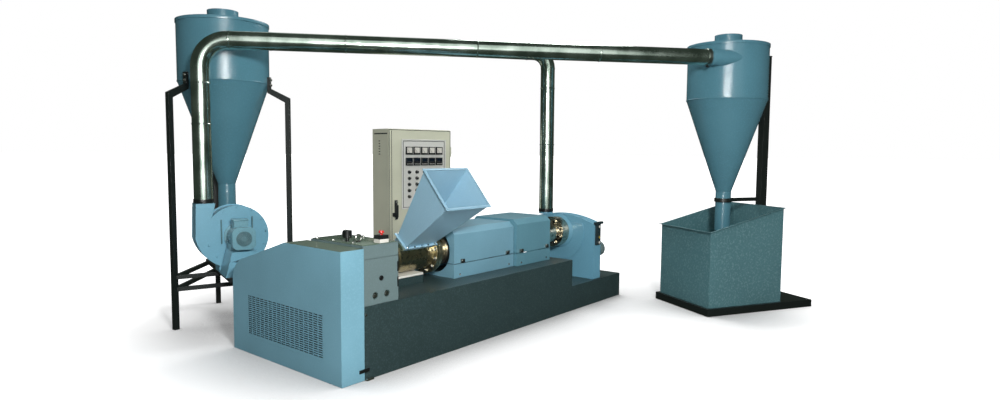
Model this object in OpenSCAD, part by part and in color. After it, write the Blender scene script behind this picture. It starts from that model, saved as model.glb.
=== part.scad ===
// Plastic recycling extruder line: extruder with die-face cutter, blower cyclone,
// pellet bin under its own cyclone, air ducts between them and a control cabinet.
// X runs along the barrel towards the die, Z is up, the origin is on the floor
// in the middle of the machine base, under the barrel axis.

/* [Machine base] */
// Length of the base along the barrel
base_len = 3700; // [3400:10:4000]
// Width of the base
base_w = 970; // [940:5:1100]
// Height of the high part that carries the gearbox and barrel
base_h = 530; // [480:5:580]
// Length of the low step under the cutter
step_len = 1000; // [900:10:1100]
// Height of the low step
step_h = 255; // [200:5:300]

/* [Belt guard] */
// Thickness of the guard along the barrel
guard_t = 200; // [160:5:260]
// Width of the guard across the machine
guard_w = 1442; // [1400:2:1600]
// Height of the guard
guard_h = 950; // [900:5:1000]
// Length of the flat part of its top
guard_flat = 680; // [600:10:800]
// Drop of the sloping top over the motor
guard_drop = 239; // [150:5:260]
// Radius of the rounded shoulder
guard_r = 200; // [100:5:240]
// Width of the field of vent slots
vent_w = 940; // [800:10:1000]
// Height of the field of vent slots
vent_h = 300; // [240:5:340]
// Distance of the vent field from the front side
vent_side = 240; // [200:5:280]
// Height of the lowest vent slots
vent_z = 170; // [140:5:220]
// Number of slots in a row
vent_cols = 17; // [12:1:18]
// Number of rows of slots
vent_rows = 19; // [12:1:20]
// Length of a slot
slot_len = 48; // [36:1:51]
// Height of a slot
slot_h = 7; // [4:0.5:9]
// Thickness of the vent panel
vent_t = 4; // [2:0.5:6]
// Depth of the air space behind the panel
vent_depth = 90; // [60:5:130]

/* [Gearbox] */
// Length of the gearbox along the barrel
gear_len = 330; // [300:5:360]
// Width of the gearbox
gear_w = 620; // [580:5:660]
// Height of the gearbox
gear_h = 435; // [400:5:470]
// Distance of its front face behind the front of the base
gear_in = 10; // [0:1:30]
// Height of the split between case and cover
gear_split = 335; // [300:5:360]
// Depth of the split groove
gear_groove = 4; // [2:0.5:8]
// Radius of the output flange
gear_flange_r = 200; // [190:1:215]
// Thickness of the output flange
gear_flange_t = 30; // [20:1:40]

/* [Main motor] */
// Radius of the motor
motor_r = 190; // [160:5:200]
// Length of the motor
motor_len = 760; // [600:10:860]
// Distance of the motor axis from the barrel axis
motor_y = 730; // [715:5:760]
// Height of the motor axis
motor_z = 470; // [440:5:490]
// Width of the motor plinth
plinth_w = 400; // [360:5:420]

/* [Barrel] */
// Height of the barrel axis over the top of the base
axis_h = 225; // [205:5:245]
// Radius of the feed section
feed_r = 140; // [125:1:150]
// Radius of the heated barrel
barrel_r = 100; // [80:1:105]
// Radius of the bolted flange
flange_r = 185; // [170:1:188]
// Thickness of the bolted flange pair
flange_t = 60; // [40:1:70]
// Distance from the gearbox to the flange pair
feed_len = 675; // [670:1:690]
// Radius of the heater bands
heater_r = 130; // [115:1:140]
// Width of a heater band
heater_w = 120; // [80:5:130]
// Distance between heater bands
heater_pitch = 205; // [190:1:230]

/* [Feed hopper] */
// Distance from the gearbox to the hopper's flat side
hopper_off = 370; // [365:1:380]
// Length of the hopper mouth along the barrel
mouth_len = 500; // [440:10:520]
// Length of the throat along the barrel
throat_len = 325; // [300:5:330]
// Reach of the mouth's low edge in front of the axis
mouth_low_y = 626; // [560:2:660]
// Height of the mouth's low edge over the axis
mouth_low_z = 436; // [400:2:470]
// Reach of the mouth's high edge in front of the axis
mouth_high_y = 373; // [340:2:400]
// Height of the mouth's high edge over the axis
mouth_high_z = 734; // [700:2:770]
// Reach of the throat's low edge in front of the axis
throat_low_y = 156; // [150:1:165]
// Height of the throat's low edge over the axis
throat_low_z = 93; // [88:1:100]
// Reach of the throat's high edge in front of the axis
throat_high_y = 53; // [45:1:60]
// Height of the throat's high edge over the axis
throat_high_z = 183; // [175:1:190]
// Sheet thickness of the hopper
hopper_t = 4; // [3:0.5:6]
// Width of the folded rim round the mouth
rim_w = 14; // [8:1:20]

/* [Barrel covers] */
// Gap between the flange pair and the long cover
cover_gap = 80; // [70:1:90]
// Distance from the short cover to the low step of the base
cover_tail = 125; // [110:1:140]
// Half width of the long cover
cover_a_half = 250; // [235:1:255]
// Height of the long cover over the base
cover_a_h = 435; // [420:5:445]
// Length of the short cover
cover_b_len = 560; // [520:5:570]
// Half width of the short cover
cover_b_half = 285; // [275:1:295]
// Height of the short cover over the base
cover_b_h = 455; // [445:5:465]
// Width of the sloping top edges
cover_chamfer = 50; // [30:1:60]
// Height of the seam between tray and lid
seam_h = 125; // [110:1:135]
// Sheet thickness of the covers
cover_t = 4; // [3:0.5:6]
// Radius of the round end openings
cover_hole_r = 195; // [192:1:198]
// Gap round the moving lids
lid_gap = 5; // [4:0.5:6]
// Radius of the hinge pins
pin_r = 6; // [5:0.5:8]
// Radius of the hinge knuckles
knuckle_r = 11; // [10:0.5:13]
// Length of a hinge knuckle
knuckle_len = 40; // [30:1:50]

/* [Die head and cutter] */
// Radius of the die head flanges
die_r = 165; // [150:1:172]
// Thickness of a die head flange
die_flange_t = 60; // [50:1:70]
// Radius of the die head between its flanges
die_neck_r = 122; // [110:1:130]
// Distance of the cutter hood from the end of the high base
hood_off = 460; // [440:5:480]
// Thickness of the cutter hood
hood_t = 150; // [130:5:180]
// Half width of the cutter hood
hood_half = 455; // [440:5:470]
// Height of the hood's sides over the step
hood_side_h = 601; // [580:1:620]
// Rise of the hood's arched top
hood_rise = 92; // [70:1:110]
// Outer radius of the collar round the die
collar_r = 190; // [180:1:192]
// Length of the collar
collar_len = 24; // [16:1:30]
// Wall of the collar
collar_t = 60; // [40:1:75]
// Radius of the raised round face of the hood
drum_r = 330; // [310:1:345]
// Height of the raised round face
drum_t = 8; // [5:1:12]
// Radius of the cutter motor
cutter_motor_r = 85; // [70:1:95]
// Length of the cutter motor
cutter_motor_len = 160; // [140:5:180]
// Distance of the cutter motor in front of the barrel axis
cutter_motor_y = 335; // [320:5:355]
// Depth of the cutter motor axis under the barrel axis
cutter_motor_drop = 202; // [185:1:220]

/* [Air ducts] */
// Outer radius of the ducts
duct_r = 80; // [70:1:85]
// Bend radius of the elbows
bend_r = 240; // [200:5:260]
// Distance of the suction riser behind the barrel axis
riser_y = 235; // [215:5:255]
// Depth of the suction duct under the left cyclone's roof
suction_z = 86; // [86:2:140]
// Bend radius of the elbow on the suction riser
suction_bend = 170; // [150:5:200]
// Depth of the delivery duct under the right cyclone's roof
delivery_z = 165; // [125:5:205]
// Thickness of a clamp band
band_t = 5; // [3:0.5:8]
// Width of a clamp band
band_w = 36; // [24:1:44]
// Height of a duct's seam bead
bead_t = 2; // [1:0.5:4]
// Width of a duct's seam bead
bead_w = 10; // [6:1:14]
// Length of a cyclone's inlet stub
stub_len = 400; // [360:5:440]
// Length of the spigot under the suction riser
spigot_len = 20; // [16:2:60]

/* [Cyclones] */
// Radius of a cyclone
cyc_r = 412; // [400:2:425]
// Height of a cyclone's straight part
cyc_h = 565; // [540:5:590]
// Height of a cyclone's cone
cone_h = 970; // [930:5:1000]
// Sheet thickness of a cyclone
cyc_t = 5; // [4:0.5:8]
// Radius of the exhaust stack
stack_r = 140; // [120:5:160]
// Height of the exhaust stack over the roof
stack_h = 112; // [90:2:130]
// Height of the left cyclone's roof
left_top = 2840; // [2830:5:2860]
// Height of the right cyclone's roof
right_top = 2765; // [2750:5:2785]

/* [Blower stand] */
// Distance of the left cyclone behind the origin along the barrel
left_back = 1536; // [1500:2:1560]
// Distance of the left cyclone behind the barrel axis
left_y = 1991; // [1960:1:2020]
// Turn of the blower stand
left_turn = -17.3; // [-20:0.1:-15]
// Distance of a leg from the cyclone axis
leg_ring = 598; // [580:2:620]
// Width of a leg
leg_w = 44; // [38:1:50]
// Height of the straight part of a leg
leg_h = 2118; // [2090:2:2150]
// Rise of the inward bend of a leg
leg_rise = 90; // [60:5:120]
// Length of the bolted tab on the cyclone wall
tab_len = 130; // [100:5:160]
// Width of a rail
rail_w = 36; // [30:1:42]
// Height of the lower rails
rail_low_z = 350; // [320:5:380]
// Height of the upper rails
rail_high_z = 460; // [445:5:475]
// Distance of the platform's front edge from the cyclone axis
deck_reach = 915; // [900:5:940]
// Width of the platform
deck_w = 360; // [340:5:400]
// Thickness of the platform plate
deck_t = 8; // [6:0.5:12]

/* [Blower] */
// Height of the blower axis
fan_z = 866; // [852:1:880]
// Distance of the scroll's middle from the cyclone axis
fan_y = 500; // [490:1:520]
// Distance of the blower axis beside the cyclone axis
fan_side = 33; // [20:1:45]
// Depth of the scroll along the axis
fan_t = 200; // [180:2:210]
// Smallest radius of the scroll
scroll_small = 258; // [250:1:268]
// Distance of the outlet's middle from the blower axis
outlet_x = 257; // [250:1:266]
// Height of the outlet flange over the blower axis
outlet_h = 295; // [285:1:310]
// Overhang of the scroll's side plates
scroll_lip = 12; // [8:1:16]
// Thickness of a side plate
scroll_plate = 6; // [4:0.5:8]
// Half width of the blower motor's fan cowl
fan_motor_r = 96; // [86:1:102]
// Length of the blower motor
fan_motor_len = 280; // [250:5:300]

/* [Pellet bin] */
// Distance of the bin's middle along the barrel
bin_x = 2190; // [2170:2:2210]
// Distance of the bin's middle in front of the barrel axis
bin_front = 1533; // [1515:1:1550]
// Turn of the bin
bin_turn = -29.5; // [-32:0.1:-27]
// Length of the bin
bin_len = 934; // [900:2:960]
// Width of the bin
bin_w = 820; // [780:5:850]
// Height of the low end over the floor
bin_low = 850; // [820:5:880]
// Height of the high end over the floor
bin_high = 1074; // [1040:2:1100]
// Sheet thickness of the bin
bin_t = 5; // [4:0.5:8]
// Width of the rim along the top edges
bin_rim = 28; // [20:1:31]
// Length of the base frame
skid_len = 1370; // [1340:5:1400]
// Width of the base frame
skid_w = 890; // [870:5:930]
// Height of the base frame
skid_h = 75; // [60:1:90]
// Distance of the base frame's low end from the bin's low end
skid_out = 33; // [25:1:50]
// Width of the mast
mast_w = 80; // [70:2:96]
// Height of the mast over the foot of the right cyclone's straight part
mast_h = 495; // [455:5:535]
// Gap between the cyclone wall and the mast
mast_gap = 70; // [64:1:80]
// Gap between the bin and the mast
bin_gap = 34; // [32:1:40]
// Height of the pipe clamp over the floor
clamp_z = 1136; // [1120:2:1150]
// Length of the drop pipe below the bin cone
drop_len = 420; // [400:5:440]

/* [Control cabinet] */
// Distance of the cabinet's front along the barrel
cab_x = 837; // [800:1:900]
// Distance of the cabinet's front behind the barrel axis
cab_y = 1744; // [1720:2:1800]
// Turn of the cabinet
cab_turn = -10.4; // [-12:0.1:-8]
// Width of the cabinet
cab_w = 900; // [860:5:920]
// Depth of the cabinet behind its door
cab_d = 360; // [340:5:400]
// Height of the cabinet
cab_h = 1900; // [1850:5:1950]
// Sheet thickness of the cabinet
cab_t = 15; // [10:1:20]
// Height of the cabinet plinth
cab_plinth = 100; // [80:5:120]
// Thickness of the door
door_t = 25; // [20:1:30]
// Width of the control panel
panel_w = 630; // [600:5:640]
// Height of the control panel
panel_h = 830; // [800:5:850]
// Height of the control panel's lower edge
panel_z = 938; // [920:2:960]
// Distance of the panel from the door's free edge
panel_in = 180; // [170:2:200]
// Thickness of the control panel
panel_t = 6; // [4:0.5:8]
// Size of a panel meter
meter_w = 96; // [86:1:98]
// Distance between panel meters
meter_pitch = 110; // [104:1:112]

/* [Hidden] */
$fn = 72;

// Overrun of every cut past the face it opens
over = 3;
// Gap between curved neighbours that seat on each other
seat = 0.3;
// End gap between hinge knuckles
knuckle_gap = 1;
// Radial running clearance of the hinge pins
run_fit = 0.06;

// A half, for places in the middle of a step
half_share = 0.5;

// Gearbox: foot recesses, sight hole, lifting eyes and breather
foot_r = 26;
foot_depth = 30;
foot_share = 0.15;
sight_r = 13;
sight_share = 0.43;
eye_r = 24;
eye_wire_r = 7;
eye_collar_h = 12;
cap_stem_r = 14;
cap_stem_h = 34;
cap_r = 34;
cap_h = 52;
cap_shares = [0.2, 0.42];
eye_shares = [[0.3, 0.28], [0.58, 0.72]];

// Emergency stop
estop_w = 84;
estop_d = 66;
estop_box_h = 34;
estop_cover_h = 26;
estop_r = 22;
estop_stem_h = 16;
estop_share = 0.62;
estop_taper_share = 0.8;

// Motors: end shields, cowls, fins, feet and terminal boxes
shield_len = 60;
cowl_len = 120;
fin_count = 28;
fin_w = 8;
motor_cowl_share = 0.97;
motor_core_share = 0.9;
motor_shield_share = 0.95;
motor_foot_share = 0.9;
motor_foot_h = 30;
motor_box_w = 200;
motor_box_h = 70;
cutter_flange_t = 24;
cutter_cowl_share = 0.3;
fan_flange_r = 115;
fan_foot_h = 14;
fan_cowl_share = 0.28;
fan_box_w = 120;
fan_box_d = 110;
fan_box_h = 52;
fan_box_share = 0.4;
fan_foot_share = 0.65;
pedestal_lip = 9;
pedestal_share = 0.44;
pedestal_boss_r = 58;
pedestal_boss_h = 4;

// Feed section support, flange groove and heater places under the short cover
feed_plate_t = 18;
feed_block_half = 150;
feed_block_share = 0.8;
flange_groove = 6;
heater_shares = [0.28, 0.72];

// Cover hinges and latches
hinge_shares = [0.2, 0.8];
leaf_h = 27.5;
latch_shares = [0.12, 0.88];
latch_w = 46;
latch_t = 12;
latch_h = 34;
lever_h = 16;

// Die nose and the hood's push-button strip
nose_share = 0.8;
die_gap = 10;
strip_share = 0.6;
strip_tall_share = 0.38;
collar_cone_share = 0.9;
strip_t = 16;
button_r = 16;
button_h = 12;
button_count = 4;
grip_h = 26;

// Stand legs, runners and the blower's spiral
leg_angles = [90, 210, 330];
tab_share = 0.6;
runner_share = 0.5;
scroll_step = 7.5;
scroll_start = 145;
scroll_sweep = 325;
scroll_power = 4;
scroll_foot_share = 0.6;
fan_round_share = 1.2;

// Mast brackets and the arm round the drop pipe
bracket_h = 90;
bracket_shares = [0.3, 0.7];
arm_h = 40;
arm_t = 12;

// Cabinet hinges, panel corners, meters, knobs and handle
door_hinge_shares = [0.15, 0.85];
panel_r = 20;
meter_count = 5;
meter_depth = 14;
meter_share = 0.845;
controller_share = 0.685;
knob_r = 17;
knob_h = 26;
knob_rows = 5;
knob_top_share = 0.53;
knob_pitch_share = 0.09;
handle_w = 34;
handle_h = 210;
handle_t = 30;

base_x0 = -base_len / 2;
step_x = base_len / 2 - step_len;
gear_x1 = base_x0 + gear_len;
gear_y0 = -base_w / 2 + gear_in;
gear_top = base_h + gear_h;
axis_z = base_h + axis_h;
barrel_x0 = gear_x1 + gear_flange_t;
flange_x = gear_x1 + feed_len + gear_flange_t;
cover_x = flange_x + cover_gap + flange_t;
cover_end = step_x - cover_tail;
cover_mid = cover_end - cover_b_len;
cover_a_len = cover_mid - lid_gap - cover_x;
heater_count = max(1, floor(cover_a_len / heater_pitch));
die_x = cover_end + lid_gap;
hood_x = step_x + hood_off;
hood_r = (pow(hood_half, 2) + pow(hood_rise, 2)) / (2 * hood_rise);
hood_top = step_h + hood_side_h + hood_rise;
riser_x = hood_x + hood_t / 2;
left_x = -left_back;
bin_y = -bin_front;
left_cone_z = left_top - cyc_h - cone_h;
right_cone_z = right_top - cyc_h - cone_h;
suction_h = left_top - suction_z;
delivery_h = right_top - delivery_z;
mast_top = right_top - cyc_h + mast_h;
inlet_off = cyc_r - duct_r - cyc_t;
seam_z = base_h + seam_h;
deck_z = rail_high_z + 2 * rail_w + deck_t + seat;

// Suction duct from the riser to the far side of the left cyclone
suction_dx = left_x - riser_x;
suction_dy = left_y - riser_y;
suction_reach = norm([suction_dx, suction_dy]);
suction_az = atan2(suction_dy, suction_dx) - asin(inlet_off / suction_reach);
suction_len = sqrt(pow(suction_reach, 2) - pow(inlet_off, 2));

// Delivery duct from the blower outlet to the near side of the right cyclone
outlet_px = left_x - (outlet_x + fan_side) * cos(left_turn) + fan_y * sin(left_turn);
outlet_py = left_y - (outlet_x + fan_side) * sin(left_turn) - fan_y * cos(left_turn);
delivery_dx = bin_x - outlet_px;
delivery_dy = bin_y - outlet_py;
delivery_reach = norm([delivery_dx, delivery_dy]);
delivery_az = atan2(delivery_dy, delivery_dx) - asin(inlet_off / delivery_reach);
delivery_len = sqrt(pow(delivery_reach, 2) - pow(inlet_off, 2));

// Feed section support
feed_block_len = feed_len * feed_block_share;
feed_block_top = axis_z - feed_r - seat - feed_plate_t;

// Hopper corners in Y and Z; its side away from the die is an upright plane
hopper_x = gear_x1 + hopper_off;
mouth_low = [-mouth_low_y, axis_z + mouth_low_z];
mouth_high = [-mouth_high_y, axis_z + mouth_high_z];
throat_low = [-throat_low_y, axis_z + throat_low_z];
throat_high = [-throat_high_y, axis_z + throat_high_z];

// Places of the motor, hinges, ducts, bin and mast
motor_x = base_x0;
hinge_half = knuckle_len + knuckle_len / 2;
riser_p = [riser_x, riser_y];
outlet_p = [outlet_px, outlet_py];
riser_z0 = hood_top + spigot_len;
outlet_z = fan_z + outlet_h;
mast_x = cyc_r + mast_gap;
bin_x1 = mast_x - bin_gap;
bin_x0 = bin_x1 - bin_len;
rim_y = bin_w / 2 - bin_t + bin_rim;

// Places on the cabinet
shell_y = door_t + lid_gap;
door_axis_x = cab_w / 2 + knuckle_r + lid_gap;
door_axis_y = door_t;
door_z0 = cab_plinth + lid_gap;
door_h = cab_h - door_z0 - lid_gap;
panel_x = -cab_w / 2 + panel_in;
meter_x = panel_x + panel_w / 2 - meter_pitch * (meter_count - 1) / 2;
meter_z = panel_z + panel_h * meter_share;
controller_z = panel_z + panel_h * controller_share;

module left_frame() { translate([left_x, left_y, 0]) rotate(left_turn) children(); }
module bin_frame() { translate([bin_x, bin_y, 0]) rotate(bin_turn) children(); }
module cabinet_frame() { translate([cab_x, cab_y, 0]) rotate(cab_turn) children(); }

// A round bar or hole along the barrel axis, from x0 over a length
module on_axis(x0, len, r) {
    translate([x0, 0, axis_z]) rotate([0, 90, 0]) cylinder(r = r, h = len);
}

// A profile drawn in Y and Z, drawn out along X from x0
module along_x(x0, len) {
    translate([x0, 0, 0]) rotate([90, 0, 90]) linear_extrude(len) children();
}

// Box between two corners
module block(a, b) { translate(a) cube(b - a); }

// Machine base: a welded box with a high part and a low step
module machine_base() {
    half = base_w / 2;
    color("darkslategray") union() {
        block([base_x0, -half, 0], [step_x, half, base_h]);
        block([step_x, -half, 0], [-base_x0, half, step_h]);
    }
}

// Outline of the belt guard: flat top, sloping shoulder over the motor, round corner
module guard_outline() {
    eave = guard_h - guard_drop;
    run = guard_w - guard_flat;
    slope = atan(guard_drop / run);
    tangent = guard_r * tan((90 - slope) / 2);
    corner = [guard_w, eave];
    up = corner + tangent * [-cos(slope), sin(slope)];
    down = corner - [0, tangent];
    centre = down - [guard_r, 0];
    difference() {
        polygon([[0, 0], [guard_w, 0], corner, [guard_flat, guard_h], [0, guard_h]]);
        difference() {
            polygon([corner, up, centre, down]);
            translate(centre) circle(r = guard_r);
        }
    }
}

module vent_field(grow) {
    margin = slot_len / 2 + grow;
    translate([vent_side - margin, vent_z - margin])
        square([vent_w + 2 * margin, vent_h + 2 * margin]);
}

module belt_guard() {
    color("cadetblue") translate([base_x0 - guard_t, -base_w / 2, 0]) difference() {
        along_x(0, guard_t) guard_outline();
        along_x(-over, over + vent_depth) vent_field(slot_h);
    }
}

// Vent panel: a slotted sheet set flush in the guard's outer face
module vent_panel() {
    col_pitch = vent_w / (vent_cols - 1);
    row_pitch = vent_h / (vent_rows - 1);
    color("cadetblue") translate([base_x0 - guard_t, -base_w / 2, 0])
        along_x(0, vent_t) difference() {
            vent_field(slot_h);
            for (i = [0 : vent_cols - 1], j = [0 : vent_rows - 1])
                translate([vent_side + i * col_pitch - slot_len / 2, vent_z + j * row_pitch - slot_h / 2])
                    square([slot_len, slot_h]);
        }
}

// Gearbox: a cast case with a split line, foot recesses, a sight hole and an output flange
module gearbox() {
    groove_z = base_h + gear_split;
    color("slategray") difference() {
        union() {
            block([base_x0, gear_y0, base_h], [gear_x1, gear_y0 + gear_w, gear_top]);
            on_axis(gear_x1, gear_flange_t, gear_flange_r);
        }
        block([base_x0 - over, gear_y0 - over, groove_z],
            [gear_x1 + over, gear_y0 + gear_groove, groove_z + gear_groove]);
        block([gear_x1 - gear_groove, gear_y0 - over, groove_z],
            [gear_x1 + over, -gear_flange_r, groove_z + gear_groove]);
        for (share = [1 / 3, 2 / 3])
            translate([base_x0 + gear_len * share, gear_y0 + foot_depth, base_h + gear_h * foot_share])
                rotate([90, 0, 0]) cylinder(r = foot_r, h = foot_depth + over);
        translate([base_x0 + gear_len / 2, gear_y0 + foot_depth, base_h + gear_h * sight_share])
            rotate([90, 0, 0]) cylinder(r = sight_r, h = foot_depth + over);
    }
}

// Lifting eye: a ring on a short collar
module lifting_eye() {
    cylinder(r = eye_r - eye_wire_r, h = eye_collar_h);
    translate([0, 0, eye_collar_h + eye_r]) rotate([90, 0, 0])
        rotate_extrude() translate([eye_r, 0]) circle(r = eye_wire_r, $fn = 24);
}

// Breather cap and two lifting eyes on the gearbox cover
module gearbox_fittings() {
    color("dimgray") translate([base_x0, gear_y0, gear_top]) {
        translate([gear_len * cap_shares.x, gear_w * cap_shares.y, 0]) {
            cylinder(r = cap_stem_r, h = cap_stem_h);
            translate([0, 0, cap_stem_h]) cylinder(r = cap_r, h = cap_h);
        }
        for (s = eye_shares)
            translate([gear_len * s.x, gear_w * s.y, 0]) lifting_eye();
    }
}

// Emergency stop on the gearbox: pale box, dark cover and red mushroom button
module at_estop(h) {
    translate([base_x0 + gear_len * estop_share, gear_y0 + estop_d / 2 + gear_in, gear_top + h]) children();
}
module estop_box() {
    color("whitesmoke") at_estop(0)
        block([-estop_w / 2, -estop_d / 2, 0], [estop_w / 2, estop_d / 2, estop_box_h]);
}
module estop_cover() {
    color("darkslategray") at_estop(estop_box_h)
        block([-estop_w / 2, -estop_d / 2, 0], [estop_w / 2, estop_d / 2, estop_cover_h]);
}
module estop_button() {
    color("red") at_estop(estop_box_h + estop_cover_h) {
        cylinder(r = estop_r / 2, h = estop_stem_h);
        translate([0, 0, estop_stem_h])
            cylinder(r1 = estop_r, r2 = estop_r * estop_taper_share, h = estop_stem_h);
    }
}

// Main motor beside the gearbox, behind the guard, on its own plinth
module main_motor() {
    cowl_r = motor_r * motor_cowl_share;
    core_r = motor_r * motor_core_share;
    shield_r = motor_r * motor_shield_share;
    foot_w = plinth_w * motor_foot_share;
    body_len = motor_len - 2 * shield_len - cowl_len;
    box_z = core_r * motor_core_share;
    color("steelblue") translate([motor_x, motor_y, motor_z]) union() {
        rotate([0, 90, 0]) cylinder(r = shield_r, h = shield_len);
        translate([shield_len, 0, 0]) rotate([0, 90, 0]) cylinder(r = core_r, h = body_len);
        for (i = [0 : fin_count - 1])
            translate([shield_len, 0, 0]) rotate([360 * (i + half_share) / fin_count, 0, 0])
                translate([0, -fin_w / 2, 0]) cube([body_len, fin_w, motor_r]);
        translate([shield_len + body_len, 0, 0]) rotate([0, 90, 0])
            cylinder(r = shield_r, h = shield_len);
        translate([2 * shield_len + body_len, 0, 0]) rotate([0, 90, 0])
            cylinder(r = cowl_r, h = cowl_len);
        translate([shield_len, -foot_w / 2, -motor_r - motor_foot_h])
            cube([body_len, foot_w, motor_foot_h + motor_r / 2]);
        translate([shield_len + body_len / 4, -motor_box_w / 2, box_z])
            cube([body_len / 2, motor_box_w, motor_r - box_z + motor_box_h]);
    }
}

module motor_plinth() {
    top = motor_z - motor_r - motor_foot_h;
    color("darkslategray")
        block([motor_x, motor_y - plinth_w / 2, 0], [motor_x + motor_len, motor_y + plinth_w / 2, top]);
}

// Support under the feed section: dark block with a pale plate on top
module feed_block() {
    color("darkslategray") block([barrel_x0 + lid_gap, -feed_block_half, base_h],
        [barrel_x0 + feed_block_len, feed_block_half, feed_block_top]);
}
module feed_plate() {
    color("ivory") block([barrel_x0 + lid_gap, -feed_block_half, feed_block_top],
        [barrel_x0 + feed_block_len, feed_block_half, feed_block_top + feed_plate_t]);
}

// Barrel: feed section, bolted flange pair with a parting groove, heated barrel
module barrel() {
    color("dimgray") difference() {
        union() {
            on_axis(barrel_x0, flange_x - barrel_x0, feed_r);
            on_axis(flange_x, flange_t, flange_r);
            on_axis(flange_x + flange_t, die_x - flange_x - flange_t, barrel_r);
        }
        translate([flange_x + flange_t / 2 - flange_groove / 2, 0, axis_z]) rotate([0, 90, 0]) difference() {
            cylinder(r = flange_r + over, h = flange_groove);
            cylinder(r = flange_r - flange_groove, h = flange_groove);
        }
    }
}

// Heater bands: split clamped rings round the barrel under both covers
module heater_bands() {
    pitch = cover_a_len / heater_count;
    color("silver") for (i = [0 : heater_count - 1])
        heater_ring(cover_x + (i + half_share) * pitch - heater_w / 2);
    color("silver") for (share = heater_shares)
        heater_ring(cover_mid + share * cover_b_len - heater_w / 2);
}
module heater_ring(x0) {
    difference() {
        on_axis(x0, heater_w, heater_r);
        on_axis(x0 - over, heater_w + 2 * over, barrel_r + seat);
    }
}

// Hopper: the mouth leans forward; its side away from the die is a flat upright plane
function unit(v) = v / norm(v);
function left_of(v) = [-v.y, v.x];

// Eight corners: mouth low, mouth high, throat high, throat low, on the flat side and on the other
module funnel(ml, mh, th, tl, x0, mouth_x1, throat_x1) {
    pts = [
        [x0, ml.x, ml.y], [x0, mh.x, mh.y], [x0, th.x, th.y], [x0, tl.x, tl.y],
        [mouth_x1, ml.x, ml.y], [mouth_x1, mh.x, mh.y], [throat_x1, th.x, th.y], [throat_x1, tl.x, tl.y]
    ];
    faces = [[0, 1, 2, 3], [7, 6, 5, 4], [0, 4, 5, 1], [1, 5, 6, 2], [2, 6, 7, 3], [3, 7, 4, 0]];
    hull() polyhedron(pts, faces);
}

module feed_hopper() {
    low_dir = unit(mouth_low - throat_low);
    high_dir = unit(mouth_high - throat_high);
    low_in = -left_of(low_dir) * hopper_t;
    high_in = left_of(high_dir) * hopper_t;
    slope_x = (mouth_len - throat_len) / norm(mouth_low - throat_low);
    rim_out = unit(mouth_high - mouth_low) * rim_w;
    mouth_out = left_of(unit(mouth_high - mouth_low)) * hopper_t;
    x1 = hopper_x + mouth_len;
    color("steelblue") difference() {
        union() {
            funnel(mouth_low, mouth_high, throat_high, throat_low, hopper_x, x1, hopper_x + throat_len);
            funnel(mouth_low - rim_out, mouth_high + rim_out, mouth_high + rim_out - mouth_out,
                mouth_low - rim_out - mouth_out, hopper_x - rim_w, x1 + rim_w, x1 + rim_w);
        }
        funnel(mouth_low + low_in + low_dir * over, mouth_high + high_in + high_dir * over,
            throat_high + high_in - high_dir * over, throat_low + low_in - low_dir * over,
            hopper_x + hopper_t, x1 - hopper_t + slope_x * over,
            hopper_x + throat_len - hopper_t - slope_x * over);
    }
}

// Throat: a slanted chute from the hopper into the feed section
module feed_throat() {
    mouth_dir = unit(throat_high - throat_low);
    down = -left_of(mouth_dir);
    reach = feed_r;
    wide = norm(throat_high - throat_low);
    color("steelblue") difference() {
        along_x(hopper_x, throat_len)
            polygon([throat_low, throat_high, throat_high + down * reach, throat_low + down * reach]);
        along_x(hopper_x + hopper_t, throat_len - 2 * hopper_t)
            polygon([
                throat_low + mouth_dir * hopper_t - down * over,
                throat_high - mouth_dir * hopper_t - down * over,
                throat_high - mouth_dir * hopper_t + down * (reach + over),
                throat_low + mouth_dir * hopper_t + down * (reach + over)
            ]);
        on_axis(hopper_x - over, throat_len + 2 * over, feed_r + seat);
    }
}

// Outline of a cover over the base, with sloping top edges
module cover_outline(half, h) {
    polygon([
        [-half, base_h], [half, base_h], [half, base_h + h - cover_chamfer],
        [half - cover_chamfer, base_h + h], [cover_chamfer - half, base_h + h],
        [-half, base_h + h - cover_chamfer]
    ]);
}

// Closed cover box with round end openings for the barrel
module cover_box(x0, len, half, h) {
    difference() {
        along_x(x0, len) cover_outline(half, h);
        along_x(x0 + cover_t, len - 2 * cover_t) intersection() {
            cover_outline(half - cover_t, h - cover_t);
            translate([-half, base_h - over]) square([2 * half, h + over]);
        }
        on_axis(x0 - over, len + 2 * over, cover_hole_r);
    }
}

// Where the hinge axis lies behind a cover
function hinge_y(half) = half + knuckle_r + lid_gap;

// Knuckle round the hinge axis with a leaf back to the cover wall
module knuckle(half, x0, len, up) {
    leaf_t = cover_t;
    y = hinge_y(half);
    union() {
        translate([x0, y, seam_z]) rotate([0, 90, 0]) cylinder(r = knuckle_r, h = len);
        if (up) {
            block([x0, half, seam_z + lid_gap], [x0 + len, half + leaf_t, seam_z + leaf_h]);
            block([x0, half, seam_z + lid_gap], [x0 + len, y, seam_z + lid_gap + leaf_t]);
        } else {
            block([x0, half, seam_z - leaf_h], [x0 + len, half + leaf_t, seam_z - lid_gap]);
            block([x0, half, seam_z - lid_gap - leaf_t], [x0 + len, y, seam_z - lid_gap]);
        }
    }
}

// Lower part of a cover: fixed to the base, with the outer hinge knuckles and their pins
module tray(x0, len, half, h) {
    union() {
        intersection() {
            cover_box(x0, len, half, h);
            block([x0 - over, -2 * half, base_h], [x0 + len + over, 2 * half, seam_z - lid_gap / 2]);
        }
        for (share = hinge_shares) {
            x = x0 + len * share;
            knuckle(half, x - hinge_half - knuckle_gap, knuckle_len, false);
            knuckle(half, x + knuckle_len / 2 + knuckle_gap, knuckle_len, false);
            translate([x - hinge_half, hinge_y(half), seam_z]) rotate([0, 90, 0])
                cylinder(r = pin_r, h = 2 * hinge_half);
        }
    }
}

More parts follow.
